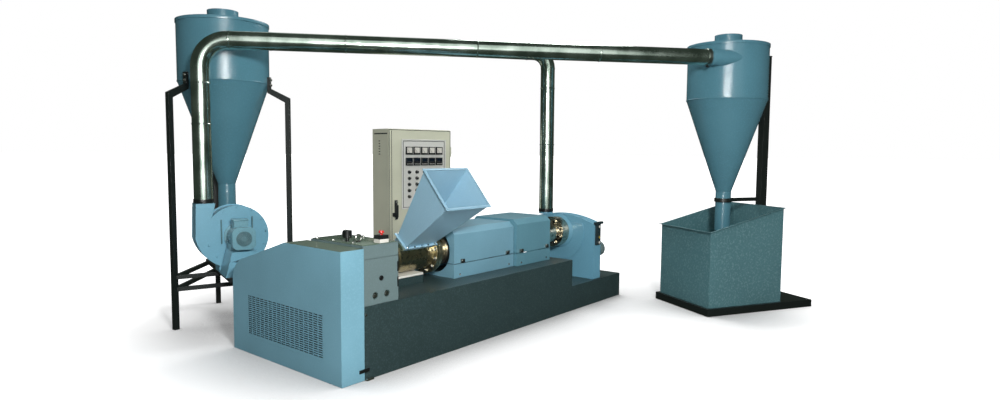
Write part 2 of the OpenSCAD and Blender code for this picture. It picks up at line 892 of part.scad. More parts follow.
// Upper part of a cover: lifts on the hinges along its back edge
module lid(x0, len, half, h) {
    difference() {
        union() {
            intersection() {
                cover_box(x0, len, half, h);
                block([x0 - over, -2 * half, seam_z + lid_gap / 2],
                    [x0 + len + over, 2 * half, base_h + 2 * h]);
            }
            for (share = hinge_shares)
                knuckle(half, x0 + len * share - knuckle_len / 2, knuckle_len, true);
        }
        for (share = hinge_shares)
            translate([x0 + len * share - knuckle_len, hinge_y(half), seam_z]) rotate([0, 90, 0])
                cylinder(r = pin_r + run_fit, h = 2 * knuckle_len);
    }
}

module long_tray() { color("lightsteelblue") tray(cover_x, cover_a_len, cover_a_half, cover_a_h); }
module long_lid() { color("lightsteelblue") lid(cover_x, cover_a_len, cover_a_half, cover_a_h); }
module short_tray() { color("lightsteelblue") tray(cover_mid, cover_b_len, cover_b_half, cover_b_h); }
module short_lid() { color("lightsteelblue") lid(cover_mid, cover_b_len, cover_b_half, cover_b_h); }

// Toggle latches on the front of a lid, at the seam
module latches(x0, len, half) {
    for (share = latch_shares)
        translate([x0 + len * share - latch_w / 2, -half - latch_t, seam_z + lid_gap]) union() {
            cube([latch_w, latch_t, latch_h]);
            translate([latch_w / 4, -latch_t / 2, latch_h - lever_h]) cube([latch_w / 2, latch_t, lever_h]);
        }
}
module long_latches() { color("silver") latches(cover_x, cover_a_len, cover_a_half); }
module short_latches() { color("silver") latches(cover_mid, cover_b_len, cover_b_half); }

// Die head: two thick bolted flanges, necks and the die nose that enters the hood
module die_head() {
    nose_r = die_neck_r * nose_share;
    mid_x = hood_x - drum_t - collar_len - die_gap - die_flange_t * 2;
    color("silver") union() {
        on_axis(die_x, hood_x - die_x - drum_t, nose_r);
        on_axis(die_x, die_flange_t, die_r);
        on_axis(die_x + die_flange_t, mid_x - die_x, die_neck_r);
        on_axis(mid_x, die_flange_t * 2, die_r);
    }
}

// Cutter hood: an upright box with a shallow arched top, a raised round face and a duct spigot
module cutter_hood() {
    centre_z = hood_top - hood_r;
    color("lightsteelblue") union() {
        along_x(hood_x, hood_t) intersection() {
            translate([-hood_half, step_h]) square([2 * hood_half, hood_side_h + hood_rise]);
            translate([0, centre_z]) circle(r = hood_r, $fn = 240);
        }
        intersection() {
            on_axis(hood_x - drum_t, drum_t, drum_r);
            along_x(hood_x - drum_t - over, hood_t) union() {
                translate([-hood_half, step_h]) square([2 * hood_half, hood_side_h]);
            }
        }
        translate([riser_x, riser_y, hood_top - spigot_len]) cylinder(r = duct_r, h = 2 * spigot_len);
    }
}

// Collar round the die on the hood's face
module cutter_collar() {
    color("lightsteelblue") difference() {
        translate([hood_x - drum_t - collar_len, 0, axis_z]) rotate([0, 90, 0])
            cylinder(r1 = collar_r - collar_t * collar_cone_share, r2 = collar_r, h = collar_len);
        on_axis(hood_x - drum_t - collar_len - over, collar_len + 2 * over, collar_r - collar_t);
    }
}

// Push-button strip on the hood's front edge with a black grip on top
module cutter_switches() {
    strip_w = hood_t * strip_share;
    strip_h = hood_side_h * strip_tall_share;
    strip_top = step_h + hood_side_h;
    pitch = strip_h / button_count;
    color("black") translate([hood_x + hood_t / 2, -hood_half, strip_top]) union() {
        block([-strip_w / 2, -strip_t, -strip_h], [strip_w / 2, 0, 0]);
        block([-hood_t / 2, -2 * strip_t, 0], [hood_t / 2, 0, grip_h]);
        for (i = [0 : button_count - 1])
            translate([0, -strip_t, -(i + half_share) * pitch]) rotate([90, 0, 0])
                cylinder(r = button_r, h = button_h);
    }
}

// Cutter motor on the back of the hood
module cutter_motor() {
    cowl = cutter_motor_len * cutter_cowl_share;
    place = [hood_x + hood_t, -cutter_motor_y, axis_z - cutter_motor_drop];
    color("gray") translate(place) rotate([0, 90, 0]) union() {
        cylinder(r = cutter_motor_r, h = cutter_flange_t);
        cylinder(r = cutter_motor_r * motor_core_share, h = cutter_motor_len);
        translate([0, 0, cutter_motor_len - cowl]) cylinder(r = cutter_motor_r, h = cowl);
    }
}

// Elbow from an upright pipe at p to a level one along azimuth az at height z, with a seam bead
module elbow(p, az, z, bend) {
    translate([p.x + bend * cos(az), p.y + bend * sin(az), z - bend]) rotate([90, 0, az]) rotate(90)
        rotate_extrude(angle = 90) translate([bend, 0]) circle(r = duct_r);
    translate([p.x, p.y, z - bend - bead_w / 2]) cylinder(r = duct_r + bead_t, h = bead_w);
}

// Level duct along az at height z, between two distances from p
module level_duct(p, az, z, from, to, r) {
    translate([p.x, p.y, z]) rotate([0, 90, az]) translate([0, 0, from]) cylinder(r = r, h = to - from);
}

module suction_riser() {
    color("silver") union() {
        translate([riser_x, riser_y, riser_z0 + seat])
            cylinder(r = duct_r, h = suction_h - suction_bend - riser_z0 - seat);
        elbow(riser_p, suction_az, suction_h, suction_bend);
    }
}
module suction_duct() {
    far = suction_len - stub_len - seat;
    color("silver") level_duct(riser_p, suction_az, suction_h, suction_bend + seat, far, duct_r);
}
module delivery_riser() {
    color("silver") union() {
        translate([outlet_px, outlet_py, outlet_z + seat])
            cylinder(r = duct_r, h = delivery_h - bend_r - outlet_z - seat);
        elbow(outlet_p, delivery_az, delivery_h, bend_r);
    }
}
module delivery_duct() {
    color("silver")
        level_duct(outlet_p, delivery_az, delivery_h, bend_r + seat, delivery_len - stub_len - seat, duct_r);
}

// Clamp bands over the duct joints
module duct_bands() {
    module upright(p, z) {
        translate([p.x, p.y, z - band_w / 2]) difference() {
            cylinder(r = duct_r + band_t, h = band_w);
            translate([0, 0, -over]) cylinder(r = duct_r + seat, h = band_w + 2 * over);
        }
    }
    module level(p, az, z, at) {
        difference() {
            level_duct(p, az, z, at - band_w / 2, at + band_w / 2, duct_r + band_t);
            level_duct(p, az, z, at - band_w, at + band_w, duct_r + seat);
        }
    }
    color("black") {
        upright(riser_p, riser_z0);
        upright(outlet_p, outlet_z + band_w / 2 + seat);
        level(riser_p, suction_az, suction_h, suction_len - stub_len);
        level(outlet_p, delivery_az, delivery_h, delivery_len - stub_len);
    }
}

// Cyclone body: straight part, cone and a tangent inlet stub that reaches the duct at p
module cyclone(c, cone_z, p, az, z, len) {
    throat = duct_r;
    module skin(t) {
        translate([c.x, c.y, cone_z]) cylinder(r1 = throat - t, r2 = cyc_r - t, h = cone_h);
        translate([c.x, c.y, cone_z + cone_h]) cylinder(r = cyc_r - t, h = cyc_h);
        level_duct(p, az, z, len - stub_len, len, duct_r - t);
    }
    difference() {
        skin(0);
        skin(cyc_t);
        translate([c.x, c.y, cone_z - over]) cylinder(r = throat - cyc_t, h = 2 * over);
        translate([c.x, c.y, cone_z + cone_h - over])
            cylinder(r = cyc_r - cyc_t - over, h = cyc_h + 2 * over);
    }
}
module left_cyclone() {
    color("steelblue") cyclone([left_x, left_y], left_cone_z, riser_p, suction_az, suction_h, suction_len);
}
module right_cyclone() {
    color("steelblue")
        cyclone([bin_x, bin_y], right_cone_z, outlet_p, delivery_az, delivery_h, delivery_len);
}

// Cyclone roof with its open exhaust stack
module roof(x, y, top) {
    difference() {
        union() {
            translate([x, y, top]) cylinder(r = cyc_r, h = cyc_t);
            translate([x, y, top]) cylinder(r = stack_r, h = cyc_t + stack_h);
        }
        translate([x, y, top - over]) cylinder(r = stack_r - cyc_t, h = stack_h + cyc_t + 2 * over);
    }
}
module left_roof() { color("steelblue") roof(left_x, left_y, left_top); }
module right_roof() { color("steelblue") roof(bin_x, bin_y, right_top); }

// Legs: square tubes bent inwards to tabs on the cyclone wall
module leg_bar() {
    half = leg_w / 2;
    wall = cyc_r + seat;
    tab_t = leg_w * tab_share;
    bend_out = leg_h + half;
    bend_in = leg_h - half;
    rotate([90, 0, 0]) translate([0, 0, -half]) linear_extrude(leg_w) polygon([
        [leg_ring - half, 0], [leg_ring + half, 0], [leg_ring + half, bend_out],
        [wall + tab_t, bend_out + leg_rise], [wall + tab_t, leg_h + leg_rise + tab_len],
        [wall, leg_h + leg_rise + tab_len], [wall, bend_in + leg_rise], [leg_ring - half, bend_in]
    ]);
}
module stand_legs() {
    color("black") left_frame() for (a = leg_angles) rotate(a) leg_bar();
}

// Two rings of rails between the legs, and two runners under the blower platform
module rail_ring(z) {
    reach = leg_ring * cos(60);
    side = 2 * leg_ring * sin(60);
    apex = 2 * seat;
    difference() {
        for (a = leg_angles) rotate(a + 60) intersection() {
            translate([reach - rail_w / 2, -side / 2, z]) cube([rail_w, side, rail_w]);
            translate([apex, 0, z]) linear_extrude(rail_w)
                polygon([[0, 0], [leg_ring, -side], [leg_ring, side]]);
        }
        for (a = leg_angles) rotate(a)
            translate([leg_ring - leg_w / 2, -leg_w / 2, z - over])
                cube([leg_w * 2, leg_w, rail_w + 2 * over]);
        for (a = leg_angles) rotate(a)
            translate([leg_ring, -leg_w * 2, z - over]) cube([leg_w * 2, leg_w * 4, rail_w + 2 * over]);
    }
}
module stand_rails() {
    runner_x = deck_w / 2 - rail_w;
    back = leg_ring * runner_share;
    color("black") left_frame() {
        rail_ring(rail_low_z);
        rail_ring(rail_high_z);
        for (side = [-1, 1])
            translate([side * runner_x - rail_w / 2, -deck_reach, rail_high_z + rail_w + seat])
                cube([rail_w, deck_reach + back, rail_w]);
    }
}

// Platform plate under the blower
module blower_deck() {
    back = fan_y - fan_t;
    color("black") left_frame()
        block([-deck_w / 2, -deck_reach, deck_z - deck_t], [deck_w / 2, -back, deck_z]);
}

// Pipe from the cone down and forward into the blower's back
module left_drop_pipe() {
    color("steelblue") left_frame() union() {
        translate([0, 0, fan_z + bend_r]) cylinder(r = duct_r, h = left_cone_z - fan_z - bend_r - seat);
        translate([0, 0, 2 * fan_z]) mirror([0, 0, 1]) elbow([0, 0], -90, fan_z, bend_r);
        translate([0, -bend_r + bead_w / 2, fan_z]) rotate([90, 0, 0])
            cylinder(r = duct_r + bead_t, h = bead_w);
        translate([0, -bend_r, fan_z]) rotate([90, 0, 0])
            cylinder(r = duct_r, h = fan_y - fan_t / 2 - scroll_plate - bend_r);
    }
}

function scroll_radius(k) = scroll_small + (outlet_x + duct_r - scroll_small) * pow(k, scroll_power);

// Scroll outline: a spiral that opens into the upright outlet
module scroll_outline(grow) {
    steps = scroll_sweep / scroll_step;
    spiral = [for (i = [0 : steps])
        let (a = scroll_start - i * scroll_step, r = scroll_radius(i / steps) + grow)
        [r * cos(a), r * sin(a)]];
    neck = [[-outlet_x - duct_r, outlet_h], [-outlet_x + duct_r, outlet_h]];
    polygon(concat(spiral, neck));
}
module blower_scroll() {
    foot_half = scroll_small * scroll_foot_share;
    color("skyblue") left_frame() translate([-fan_side, -fan_y, fan_z]) union() {
        rotate([90, 0, 0]) translate([0, 0, -fan_t / 2]) linear_extrude(fan_t) scroll_outline(0);
        for (side = [-1, 1])
            rotate([90, 0, 0]) translate([0, 0, side * (fan_t / 2 + scroll_plate / 2) - scroll_plate / 2])
                linear_extrude(scroll_plate) difference() {
                    scroll_outline(scroll_lip);
                    translate([-2 * outlet_x, scroll_small])
                        square([2 * outlet_x - scroll_small / 2, outlet_h]);
                }
        block([-foot_half, -fan_t / 2, deck_z - fan_z], [foot_half, fan_t / 2, -scroll_small / 2]);
    }
}

// Blower motor in front of the scroll, with its fan cowl and terminal box
module blower_motor() {
    face = fan_y + fan_t / 2 + scroll_plate;
    cowl = fan_motor_len * fan_cowl_share;
    box_y = fan_motor_len * fan_box_share;
    foot_y = fan_motor_len * fan_foot_share;
    color("lightblue") left_frame() translate([-fan_side, -face, fan_z]) union() {
        rotate([90, 0, 0]) cylinder(r = fan_flange_r, h = fan_foot_h);
        rotate([90, 0, 0]) cylinder(r = fan_motor_r * motor_shield_share, h = fan_motor_len);
        intersection() {
            translate([0, cowl - fan_motor_len, 0]) rotate([90, 0, 0])
                cylinder(r = fan_motor_r * fan_round_share, h = cowl);
            translate([-fan_motor_r, -fan_motor_len, -fan_motor_r])
                cube([2 * fan_motor_r, fan_motor_len, 2 * fan_motor_r]);
        }
        translate([-fan_box_w / 2, -box_y - fan_box_d / 2, 0])
            cube([fan_box_w, fan_box_d, fan_motor_r + fan_box_h]);
        translate([-fan_motor_r, -foot_y, -fan_motor_r - fan_foot_h])
            cube([2 * fan_motor_r, fan_motor_len / 2, fan_foot_h + fan_motor_r / 2]);
    }
}

// Pedestal under the blower motor: a tapered box with a raised round boss on its front
module motor_pedestal() {
    top = fan_z - fan_motor_r - fan_foot_h;
    half_top = fan_motor_r + pedestal_lip;
    half_base = deck_w * pedestal_share;
    face = fan_y + fan_t / 2 + scroll_plate + 2 * fan_foot_h;
    depth = deck_reach - face - fan_foot_h;
    color("skyblue") left_frame() translate([-fan_side, -face, 0]) rotate([90, 0, 0]) union() {
        linear_extrude(depth)
            polygon([[-half_base, deck_z], [half_base, deck_z], [half_top, top], [-half_top, top]]);
        translate([0, (deck_z + top) / 2, 0]) cylinder(r = pedestal_boss_r, h = depth + pedestal_boss_h);
    }
}

// Base frame under the pellet bin and mast
module bin_skid() {
    color("black") bin_frame()
        block([bin_x0 - skid_out, -skid_w / 2, 0], [bin_x0 - skid_out + skid_len, skid_w / 2, skid_h]);
}
module bin_floor() {
    color("steelblue") bin_frame() block([bin_x0 + bin_t, -bin_w / 2 + bin_t, skid_h],
        [bin_x1 - bin_t, bin_w / 2 - bin_t, skid_h + bin_t]);
}

// End walls of the bin with outward rims
module bin_low_wall() {
    color("steelblue") bin_frame() union() {
        block([bin_x0, -bin_w / 2 + bin_t, skid_h], [bin_x0 + bin_t, bin_w / 2 - bin_t, bin_low]);
        block([bin_x0 - bin_rim, -rim_y, bin_low - bin_t], [bin_x0, rim_y, bin_low]);
    }
}
module bin_high_wall() {
    color("steelblue") bin_frame() union() {
        block([bin_x1 - bin_t, -bin_w / 2 + bin_t, skid_h], [bin_x1, bin_w / 2 - bin_t, bin_high]);
        block([bin_x1, -rim_y, bin_high - bin_t], [bin_x1 + bin_rim, rim_y, bin_high]);
    }
}

// Side walls of the bin: their top edges slant from the low end to the high end
module bin_side_walls() {
    module side() {
        rotate([90, 0, 0]) linear_extrude(bin_t)
            polygon([[bin_x0, skid_h], [bin_x1, skid_h], [bin_x1, bin_high], [bin_x0, bin_low]]);
        rotate([90, 0, 0]) linear_extrude(bin_rim)
            polygon([
                [bin_x0, bin_low - bin_t], [bin_x1, bin_high - bin_t],
                [bin_x1, bin_high], [bin_x0, bin_low]
            ]);
    }
    color("steelblue") bin_frame() {
        translate([0, -bin_w / 2 + bin_t, 0]) side();
        mirror([0, 1, 0]) translate([0, -bin_w / 2 + bin_t, 0]) side();
    }
}

// Mast beside the bin that carries the cyclone
module mast() {
    color("black") bin_frame()
        block([mast_x, -mast_w / 2, skid_h], [mast_x + mast_w, mast_w / 2, mast_top]);
}

// Brackets from the mast to the cyclone wall, and the arm with its ring round the drop pipe
module mast_brackets() {
    color("black") bin_frame() {
        for (s = bracket_shares) difference() {
            z = right_cone_z + cone_h + cyc_h * s - bracket_h / 2;
            block([0, -mast_w / 2, z], [mast_x, mast_w / 2, z + bracket_h]);
            translate([0, 0, z - over]) cylinder(r = cyc_r + seat, h = bracket_h + 2 * over);
        }
        difference() {
            union() {
                translate([0, 0, clamp_z - arm_h / 2]) cylinder(r = duct_r + arm_t, h = arm_h);
                block([0, -arm_t, clamp_z - arm_h / 2], [mast_x, arm_t, clamp_z + arm_h / 2]);
            }
            translate([0, 0, clamp_z - arm_h]) cylinder(r = duct_r + seat, h = 2 * arm_h);
        }
    }
}

// Pipe that drops the pellets from the cone into the bin
module right_drop_pipe() {
    color("steelblue") bin_frame() translate([0, 0, right_cone_z - drop_len - seat]) difference() {
        cylinder(r = duct_r, h = drop_len);
        translate([0, 0, -over]) cylinder(r = duct_r - cyc_t, h = drop_len + 2 * over);
    }
}

// Cabinet: plinth, shell that is open at the front, and the door with its controls
module cabinet_plinth() {
    inset = cab_t * 2;
    color("dimgray") cabinet_frame()
        block([-cab_w / 2 + inset, inset, 0],
            [cab_w / 2 - inset, shell_y + cab_d - inset, cab_plinth]);
}

// Hinge knuckle of the cabinet door on an upright axis, with a leaf to the wall
module door_knuckle(z0, y_leaf) {
    translate([door_axis_x, door_axis_y, z0]) cylinder(r = knuckle_r, h = knuckle_len);
    translate([cab_w / 2, min(y_leaf, door_axis_y), z0])
        cube([knuckle_r + lid_gap, abs(y_leaf - door_axis_y) + cover_t, knuckle_len]);
}
module cabinet_shell() {
    color("beige") cabinet_frame() union() {
        difference() {
            block([-cab_w / 2, shell_y, cab_plinth], [cab_w / 2, shell_y + cab_d, cab_h]);
            block([-cab_w / 2 + cab_t, shell_y - over, cab_plinth + cab_t],
                [cab_w / 2 - cab_t, shell_y + cab_d - cab_t, cab_h - cab_t]);
        }
        for (share = door_hinge_shares) {
            z = door_z0 + door_h * share;
            door_knuckle(z + knuckle_len / 2 + knuckle_gap, shell_y + lid_gap);
            door_knuckle(z - hinge_half - knuckle_gap, shell_y + lid_gap);
            translate([door_axis_x, door_axis_y, z - hinge_half])
                cylinder(r = pin_r, h = 2 * hinge_half);
        }
    }
}
module cabinet_door() {
    color("beige") cabinet_frame() difference() {
        union() {
            block([-cab_w / 2, 0, door_z0], [cab_w / 2, door_t, door_z0 + door_h]);
            for (share = door_hinge_shares)
                door_knuckle(door_z0 + door_h * share - knuckle_len / 2, door_axis_y - 2 * cover_t);
        }
        for (share = door_hinge_shares)
            translate([door_axis_x, door_axis_y, door_z0 + door_h * share - knuckle_len])
                cylinder(r = pin_r + run_fit, h = 2 * knuckle_len);
    }
}

// Control panel on the door with meters, controllers and knobs
module control_panel() {
    color("whitesmoke") cabinet_frame() rotate([90, 0, 0]) linear_extrude(panel_t) difference() {
        translate([panel_x, panel_z]) square([panel_w, panel_h]);
        for (i = [0, 1], j = [0, 1]) translate([panel_x + i * panel_w, panel_z + j * panel_h])
            mirror([i, 0]) mirror([0, j]) difference() {
                square(panel_r);
                translate([panel_r, panel_r]) circle(r = panel_r);
            }
    }
}
module panel_gauges() {
    color("black") cabinet_frame() for (i = [0 : meter_count - 1], z = [meter_z, controller_z])
        translate([meter_x + i * meter_pitch - meter_w / 2, -panel_t - meter_depth, z - meter_w / 2])
            cube([meter_w, meter_depth, meter_w]);
}
module panel_knobs() {
    row_top = panel_z + panel_h * knob_top_share;
    row_pitch = panel_h * knob_pitch_share;
    color("black") cabinet_frame() for (i = [0 : meter_count - 1], j = [0 : knob_rows - 1])
        translate([meter_x + i * meter_pitch, -panel_t, row_top - j * row_pitch]) rotate([90, 0, 0])
            cylinder(r = knob_r, h = knob_h);
}

// Swing handle near the door's free edge
module door_handle() {
    handle_z = panel_z - handle_h / 2;
    x = -cab_w / 2 + panel_in / 2;
    color("black") cabinet_frame() union() {
        block([x - handle_w / 2, -handle_t / 2, handle_z], [x + handle_w / 2, 0, handle_z + handle_h]);
        block([x - handle_w / 4, -handle_t, handle_z + handle_w],
            [x + handle_w / 4, 0, handle_z + handle_h]);
    }
}

machine_base();
belt_guard();
vent_panel();
gearbox();
gearbox_fittings();
estop_box();
estop_cover();
estop_button();
main_motor();
motor_plinth();
feed_block();
feed_plate();
barrel();
heater_bands();
feed_throat();
feed_hopper();
long_tray();
long_lid();
short_tray();
short_lid();
long_latches();
short_latches();
die_head();
cutter_hood();
cutter_collar();
cutter_switches();
cutter_motor();
suction_riser();
suction_duct();
delivery_riser();
delivery_duct();
duct_bands();
stand_legs();
stand_rails();
blower_deck();
left_cyclone();
left_roof();
left_drop_pipe();
blower_scroll();
blower_motor();
motor_pedestal();
bin_skid();
bin_floor();
bin_low_wall();
bin_high_wall();
bin_side_walls();
mast();
mast_brackets();
right_cyclone();
right_roof();
right_drop_pipe();
cabinet_plinth();
cabinet_shell();
cabinet_door();
control_panel();
panel_gauges();
panel_knobs();
door_handle();
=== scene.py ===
# A plastic extruder line: machine with hopper, covers and cutter, blower stand, pellet bin, air
# ducts and control cabinet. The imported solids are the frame; this script dresses them.
import bpy
import math
from mathutils import Matrix, Vector


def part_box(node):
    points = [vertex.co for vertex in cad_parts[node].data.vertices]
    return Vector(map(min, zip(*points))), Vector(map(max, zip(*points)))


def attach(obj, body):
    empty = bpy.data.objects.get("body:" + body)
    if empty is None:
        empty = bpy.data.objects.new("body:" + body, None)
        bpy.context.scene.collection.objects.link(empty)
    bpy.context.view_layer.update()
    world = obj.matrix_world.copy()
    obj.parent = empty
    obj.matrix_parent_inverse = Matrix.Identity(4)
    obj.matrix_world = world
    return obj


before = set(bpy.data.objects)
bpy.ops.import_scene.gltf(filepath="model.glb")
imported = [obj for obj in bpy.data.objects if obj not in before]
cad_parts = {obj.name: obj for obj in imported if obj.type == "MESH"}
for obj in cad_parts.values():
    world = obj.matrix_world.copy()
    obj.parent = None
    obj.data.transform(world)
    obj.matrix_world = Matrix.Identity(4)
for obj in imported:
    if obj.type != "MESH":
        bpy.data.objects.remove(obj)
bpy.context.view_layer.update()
bpy.ops.object.select_all(action="DESELECT")


# Machine base: a long welded box of steel plate with a low step under the cutter.
# It is sprayed dark green-grey; the spray leaves a fine pebbled skin with pale flecks.
# A flat tie bar, a bolt and a levelling pad sit at its joint with the belt guard.
def srgb(red, green, blue):
    """Linear colour for a colour given in 0 to 255 steps."""
    steps = [value / 255 for value in (red, green, blue)]
    return tuple(v / 12.92 if v <= 0.04045 else ((v + 0.055) / 1.055) ** 2.4 for v in steps) + (1.0,)


def shade(colour, factor):
    """The same colour, lighter or darker."""
    return tuple(min(1.0, value * factor) for value in colour[:3]) + (1.0,)


def mix_colours(mat, factor, first, second):
    """Mixes what a colour socket gives with a fixed colour, by what a factor socket gives."""
    mixer = mat.node_tree.nodes.new("ShaderNodeMix")
    mixer.data_type = "RGBA"
    ends = {socket.identifier: socket for socket in mixer.inputs}
    mat.node_tree.links.new(factor, ends["Factor_Float"])
    mat.node_tree.links.new(first, ends["A_Color"])
    ends["B_Color"].default_value = second
    return [socket for socket in mixer.outputs if socket.identifier == "Result_Color"][0]


def sprayed_paint(name, tint, fleck, fleck_size, fleck_cover, dullness, skin, metal=0.0):
    """Sprayed paint with slow colour drift, small flecks and a pebbled skin."""
    mat = bpy.data.materials.new(name)
    mat.use_nodes = True
    nodes = mat.node_tree.nodes
    links = mat.node_tree.links
    shader = nodes["Principled BSDF"]
    place = nodes.new("ShaderNodeTexCoord")
    drift = nodes.new("ShaderNodeTexNoise")
    drift.inputs["Scale"].default_value = 2.1
    drift.inputs["Detail"].default_value = 5.0
    flecks = nodes.new("ShaderNodeTexNoise")
    flecks.inputs["Scale"].default_value = 1.0 / fleck_size
    flecks.inputs["Detail"].default_value = 3.0
    pebbles = nodes.new("ShaderNodeTexNoise")
    pebbles.inputs["Scale"].default_value = 260.0
    pebbles.inputs["Detail"].default_value = 2.0
    for texture in (drift, flecks, pebbles):
        links.new(place.outputs["Object"], texture.inputs["Vector"])
    base = nodes.new("ShaderNodeValToRGB")
    base.color_ramp.elements[0].position = 0.3
    base.color_ramp.elements[0].color = shade(tint, 0.93)
    base.color_ramp.elements[1].position = 0.7
    base.color_ramp.elements[1].color = shade(tint, 1.06)
    links.new(drift.outputs["Fac"], base.inputs["Fac"])
    spots = nodes.new("ShaderNodeMapRange")
    spots.inputs["From Min"].default_value = 0.5
    spots.inputs["From Max"].default_value = 0.68
    spots.inputs["To Max"].default_value = fleck_cover
    links.new(flecks.outputs["Fac"], spots.inputs["Value"])
    flecked = mix_colours(mat, spots.outputs["Result"], base.outputs["Color"], fleck)
    links.new(flecked, shader.inputs["Base Color"])
    rough = nodes.new("ShaderNodeMapRange")
    rough.inputs["To Min"].default_value = dullness - 0.03
    rough.inputs["To Max"].default_value = dullness + 0.04
    links.new(drift.outputs["Fac"], rough.inputs["Value"])
    links.new(rough.outputs["Result"], shader.inputs["Roughness"])
    bump = nodes.new("ShaderNodeBump")
    bump.inputs["Strength"].default_value = skin
    bump.inputs["Distance"].default_value = 0.002
    links.new(pebbles.outputs["Fac"], bump.inputs["Height"])
    edge = nodes.new("ShaderNodeBevel")
    edge.samples = 3
    edge.inputs["Radius"].default_value = 0.004
    links.new(edge.outputs["Normal"], bump.inputs["Normal"])
    links.new(bump.outputs["Normal"], shader.inputs["Normal"])
    shader.inputs["Metallic"].default_value = metal
    return mat


def dress(material, *names):
    """Gives the objects of CAD nodes their finish."""
    for name in names:
        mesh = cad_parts[name].data
        mesh.materials.clear()
        mesh.materials.append(material)


def bar(name, low, high, edge=0.002):
    """Plate or bar between two corners, with its edges rounded."""
    bpy.ops.object.select_all(action="DESELECT")
    middle = [(a + b) / 2 for a, b in zip(low, high)]
    bpy.ops.mesh.primitive_cube_add(size=1.0, location=middle)
    piece = bpy.context.object
    piece.name = name
    piece.scale = [b - a for a, b in zip(low, high)]
    bpy.ops.object.transform_apply(location=True, rotation=True, scale=True)
    bpy.ops.object.mode_set(mode="EDIT")
    bpy.ops.mesh.select_all(action="SELECT")
    bpy.ops.mesh.bevel(offset=edge, segments=2, affect="EDGES")
    bpy.ops.object.mode_set(mode="OBJECT")
    return piece


def pick_faces(piece, wanted):
    """Opens the piece for editing with only the wanted faces selected."""
    bpy.ops.object.mode_set(mode="EDIT")
    bpy.ops.mesh.select_mode(type="FACE")
    bpy.ops.mesh.select_all(action="DESELECT")
    bpy.ops.object.mode_set(mode="OBJECT")
    for face in piece.data.polygons:
        face.select = wanted(face.center, face.normal)
    bpy.ops.object.mode_set(mode="EDIT")


def turned(name, sides, radius, height, steps):
    """Turned piece along Z: a disc whose top face is drawn in and then raised or sunk, step by step."""
    bpy.ops.object.select_all(action="DESELECT")
    middle = (0, 0, height / 2)
    bpy.ops.mesh.primitive_cylinder_add(vertices=sides, radius=radius, depth=height, location=middle)
    piece = bpy.context.object
    piece.name = name
    bpy.ops.object.transform_apply(location=True, rotation=True, scale=True)
    pick_faces(piece, lambda centre, normal: normal.z > 0.9)
    for inset, rise in steps:
        bpy.ops.mesh.inset(thickness=inset)
        bpy.ops.mesh.extrude_region_move(TRANSFORM_OT_translate={"value": (0.0, 0.0, rise)})
    bpy.ops.object.mode_set(mode="OBJECT")
    return piece


def join(name, pieces):
    """Makes one object of several."""
    bpy.ops.object.select_all(action="DESELECT")
    for piece in pieces:
        piece.select_set(True)
    bpy.context.view_layer.objects.active = pieces[0]
    if len(pieces) > 1:
        bpy.ops.object.join()
    pieces[0].name = name
    return pieces[0]


def copies(name, pattern, spots, size=1.0):
    """A copy of the pattern piece at each spot, its Z along the given way, joined as one object."""
    made = []
    for at, way in spots:
        twin = pattern.copy()
        twin.data = pattern.data.copy()
        turn = Vector((0.0, 0.0, 1.0)).rotation_difference(Vector(way)).to_matrix().to_4x4()
        twin.data.transform(Matrix.Translation(at) @ turn @ Matrix.Scale(size, 4))
        bpy.context.collection.objects.link(twin)
        made.append(twin)
    return join(name, made)


def fit(piece, material, body="frame"):
    """Gives a piece its finish and fixes it to a body."""
    piece.data.materials.clear()
    piece.data.materials.append(material)
    bpy.ops.object.select_all(action="DESELECT")
    piece.select_set(True)
    bpy.context.view_layer.objects.active = piece
    bpy.ops.object.shade_smooth_by_angle(angle=math.radians(35))
    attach(piece, body)


base_paint = sprayed_paint("base_paint", srgb(45, 63, 64), srgb(74, 94, 96),
                           fleck_size=0.010, fleck_cover=0.5, dullness=0.38, skin=0.25)
black_look = {"tint": srgb(20, 22, 22), "fleck": srgb(40, 42, 42),
              "fleck_size": 0.006, "fleck_cover": 0.3, "dullness": 0.3, "skin": 0.1}
black_steel = sprayed_paint("black_steel", **black_look)
zinc = sprayed_paint("zinc", srgb(196, 196, 190), srgb(150, 150, 144),
                     fleck_size=0.004, fleck_cover=0.5, dullness=0.25, skin=0.05, metal=1.0)
dress(base_paint, "machine_base", "motor_plinth", "feed_block")
to_front = (0, -1, 0)
washer_thick = 0.0025
washer = turned("washer", sides=24, radius=0.0155, height=washer_thick, steps=[(0.0005, 0.0005)])
head = turned("head", sides=6, radius=0.012, height=0.0095, steps=[(0.0012, 0.0010)])
head.data.transform(Matrix.Translation((0.0, 0.0, washer_thick)))
hex_bolt = join("hex_bolt", [washer, head])
fit(bar("tie_bar", (-1.90, -0.493, 0.060), (-1.81, -0.485, 0.085)), black_steel)
fit(bar("level_pad", (-1.846, -0.512, 0.0), (-1.786, -0.4855, 0.016)), zinc)
seam_spots = [((-1.836, -0.485, 0.474), to_front)]
fit(copies("seam_bolts", hex_bolt, seam_spots, size=0.7), zinc)


# Belt guard: folded sheet with a sloping shoulder and a punched vent field on its outer face.
# Light blue hammered enamel; its flat top is coloured green-grey, like the gearbox cover beside it.
# The slots' cut walls carry painted shade, and a dark sheet close behind them is painted shade seen through
# the slots.
def change_along(mat, axis, start, end, colour):
    """Lets a finish go over to another colour along one axis."""
    nodes = mat.node_tree.nodes
    links = mat.node_tree.links
    shader = nodes["Principled BSDF"]
    parts = nodes.new("ShaderNodeSeparateXYZ")
    links.new(nodes["Texture Coordinate"].outputs["Object"], parts.inputs["Vector"])
    ramp = nodes.new("ShaderNodeMapRange")
    ramp.inputs["From Min"].default_value = start
    ramp.inputs["From Max"].default_value = end
    links.new(parts.outputs[axis], ramp.inputs["Value"])
    painted = shader.inputs["Base Color"].links[0].from_socket
    changed = mix_colours(mat, ramp.outputs["Result"], painted, colour)
    links.new(changed, shader.inputs["Base Color"])
    return ramp.outputs["Result"]


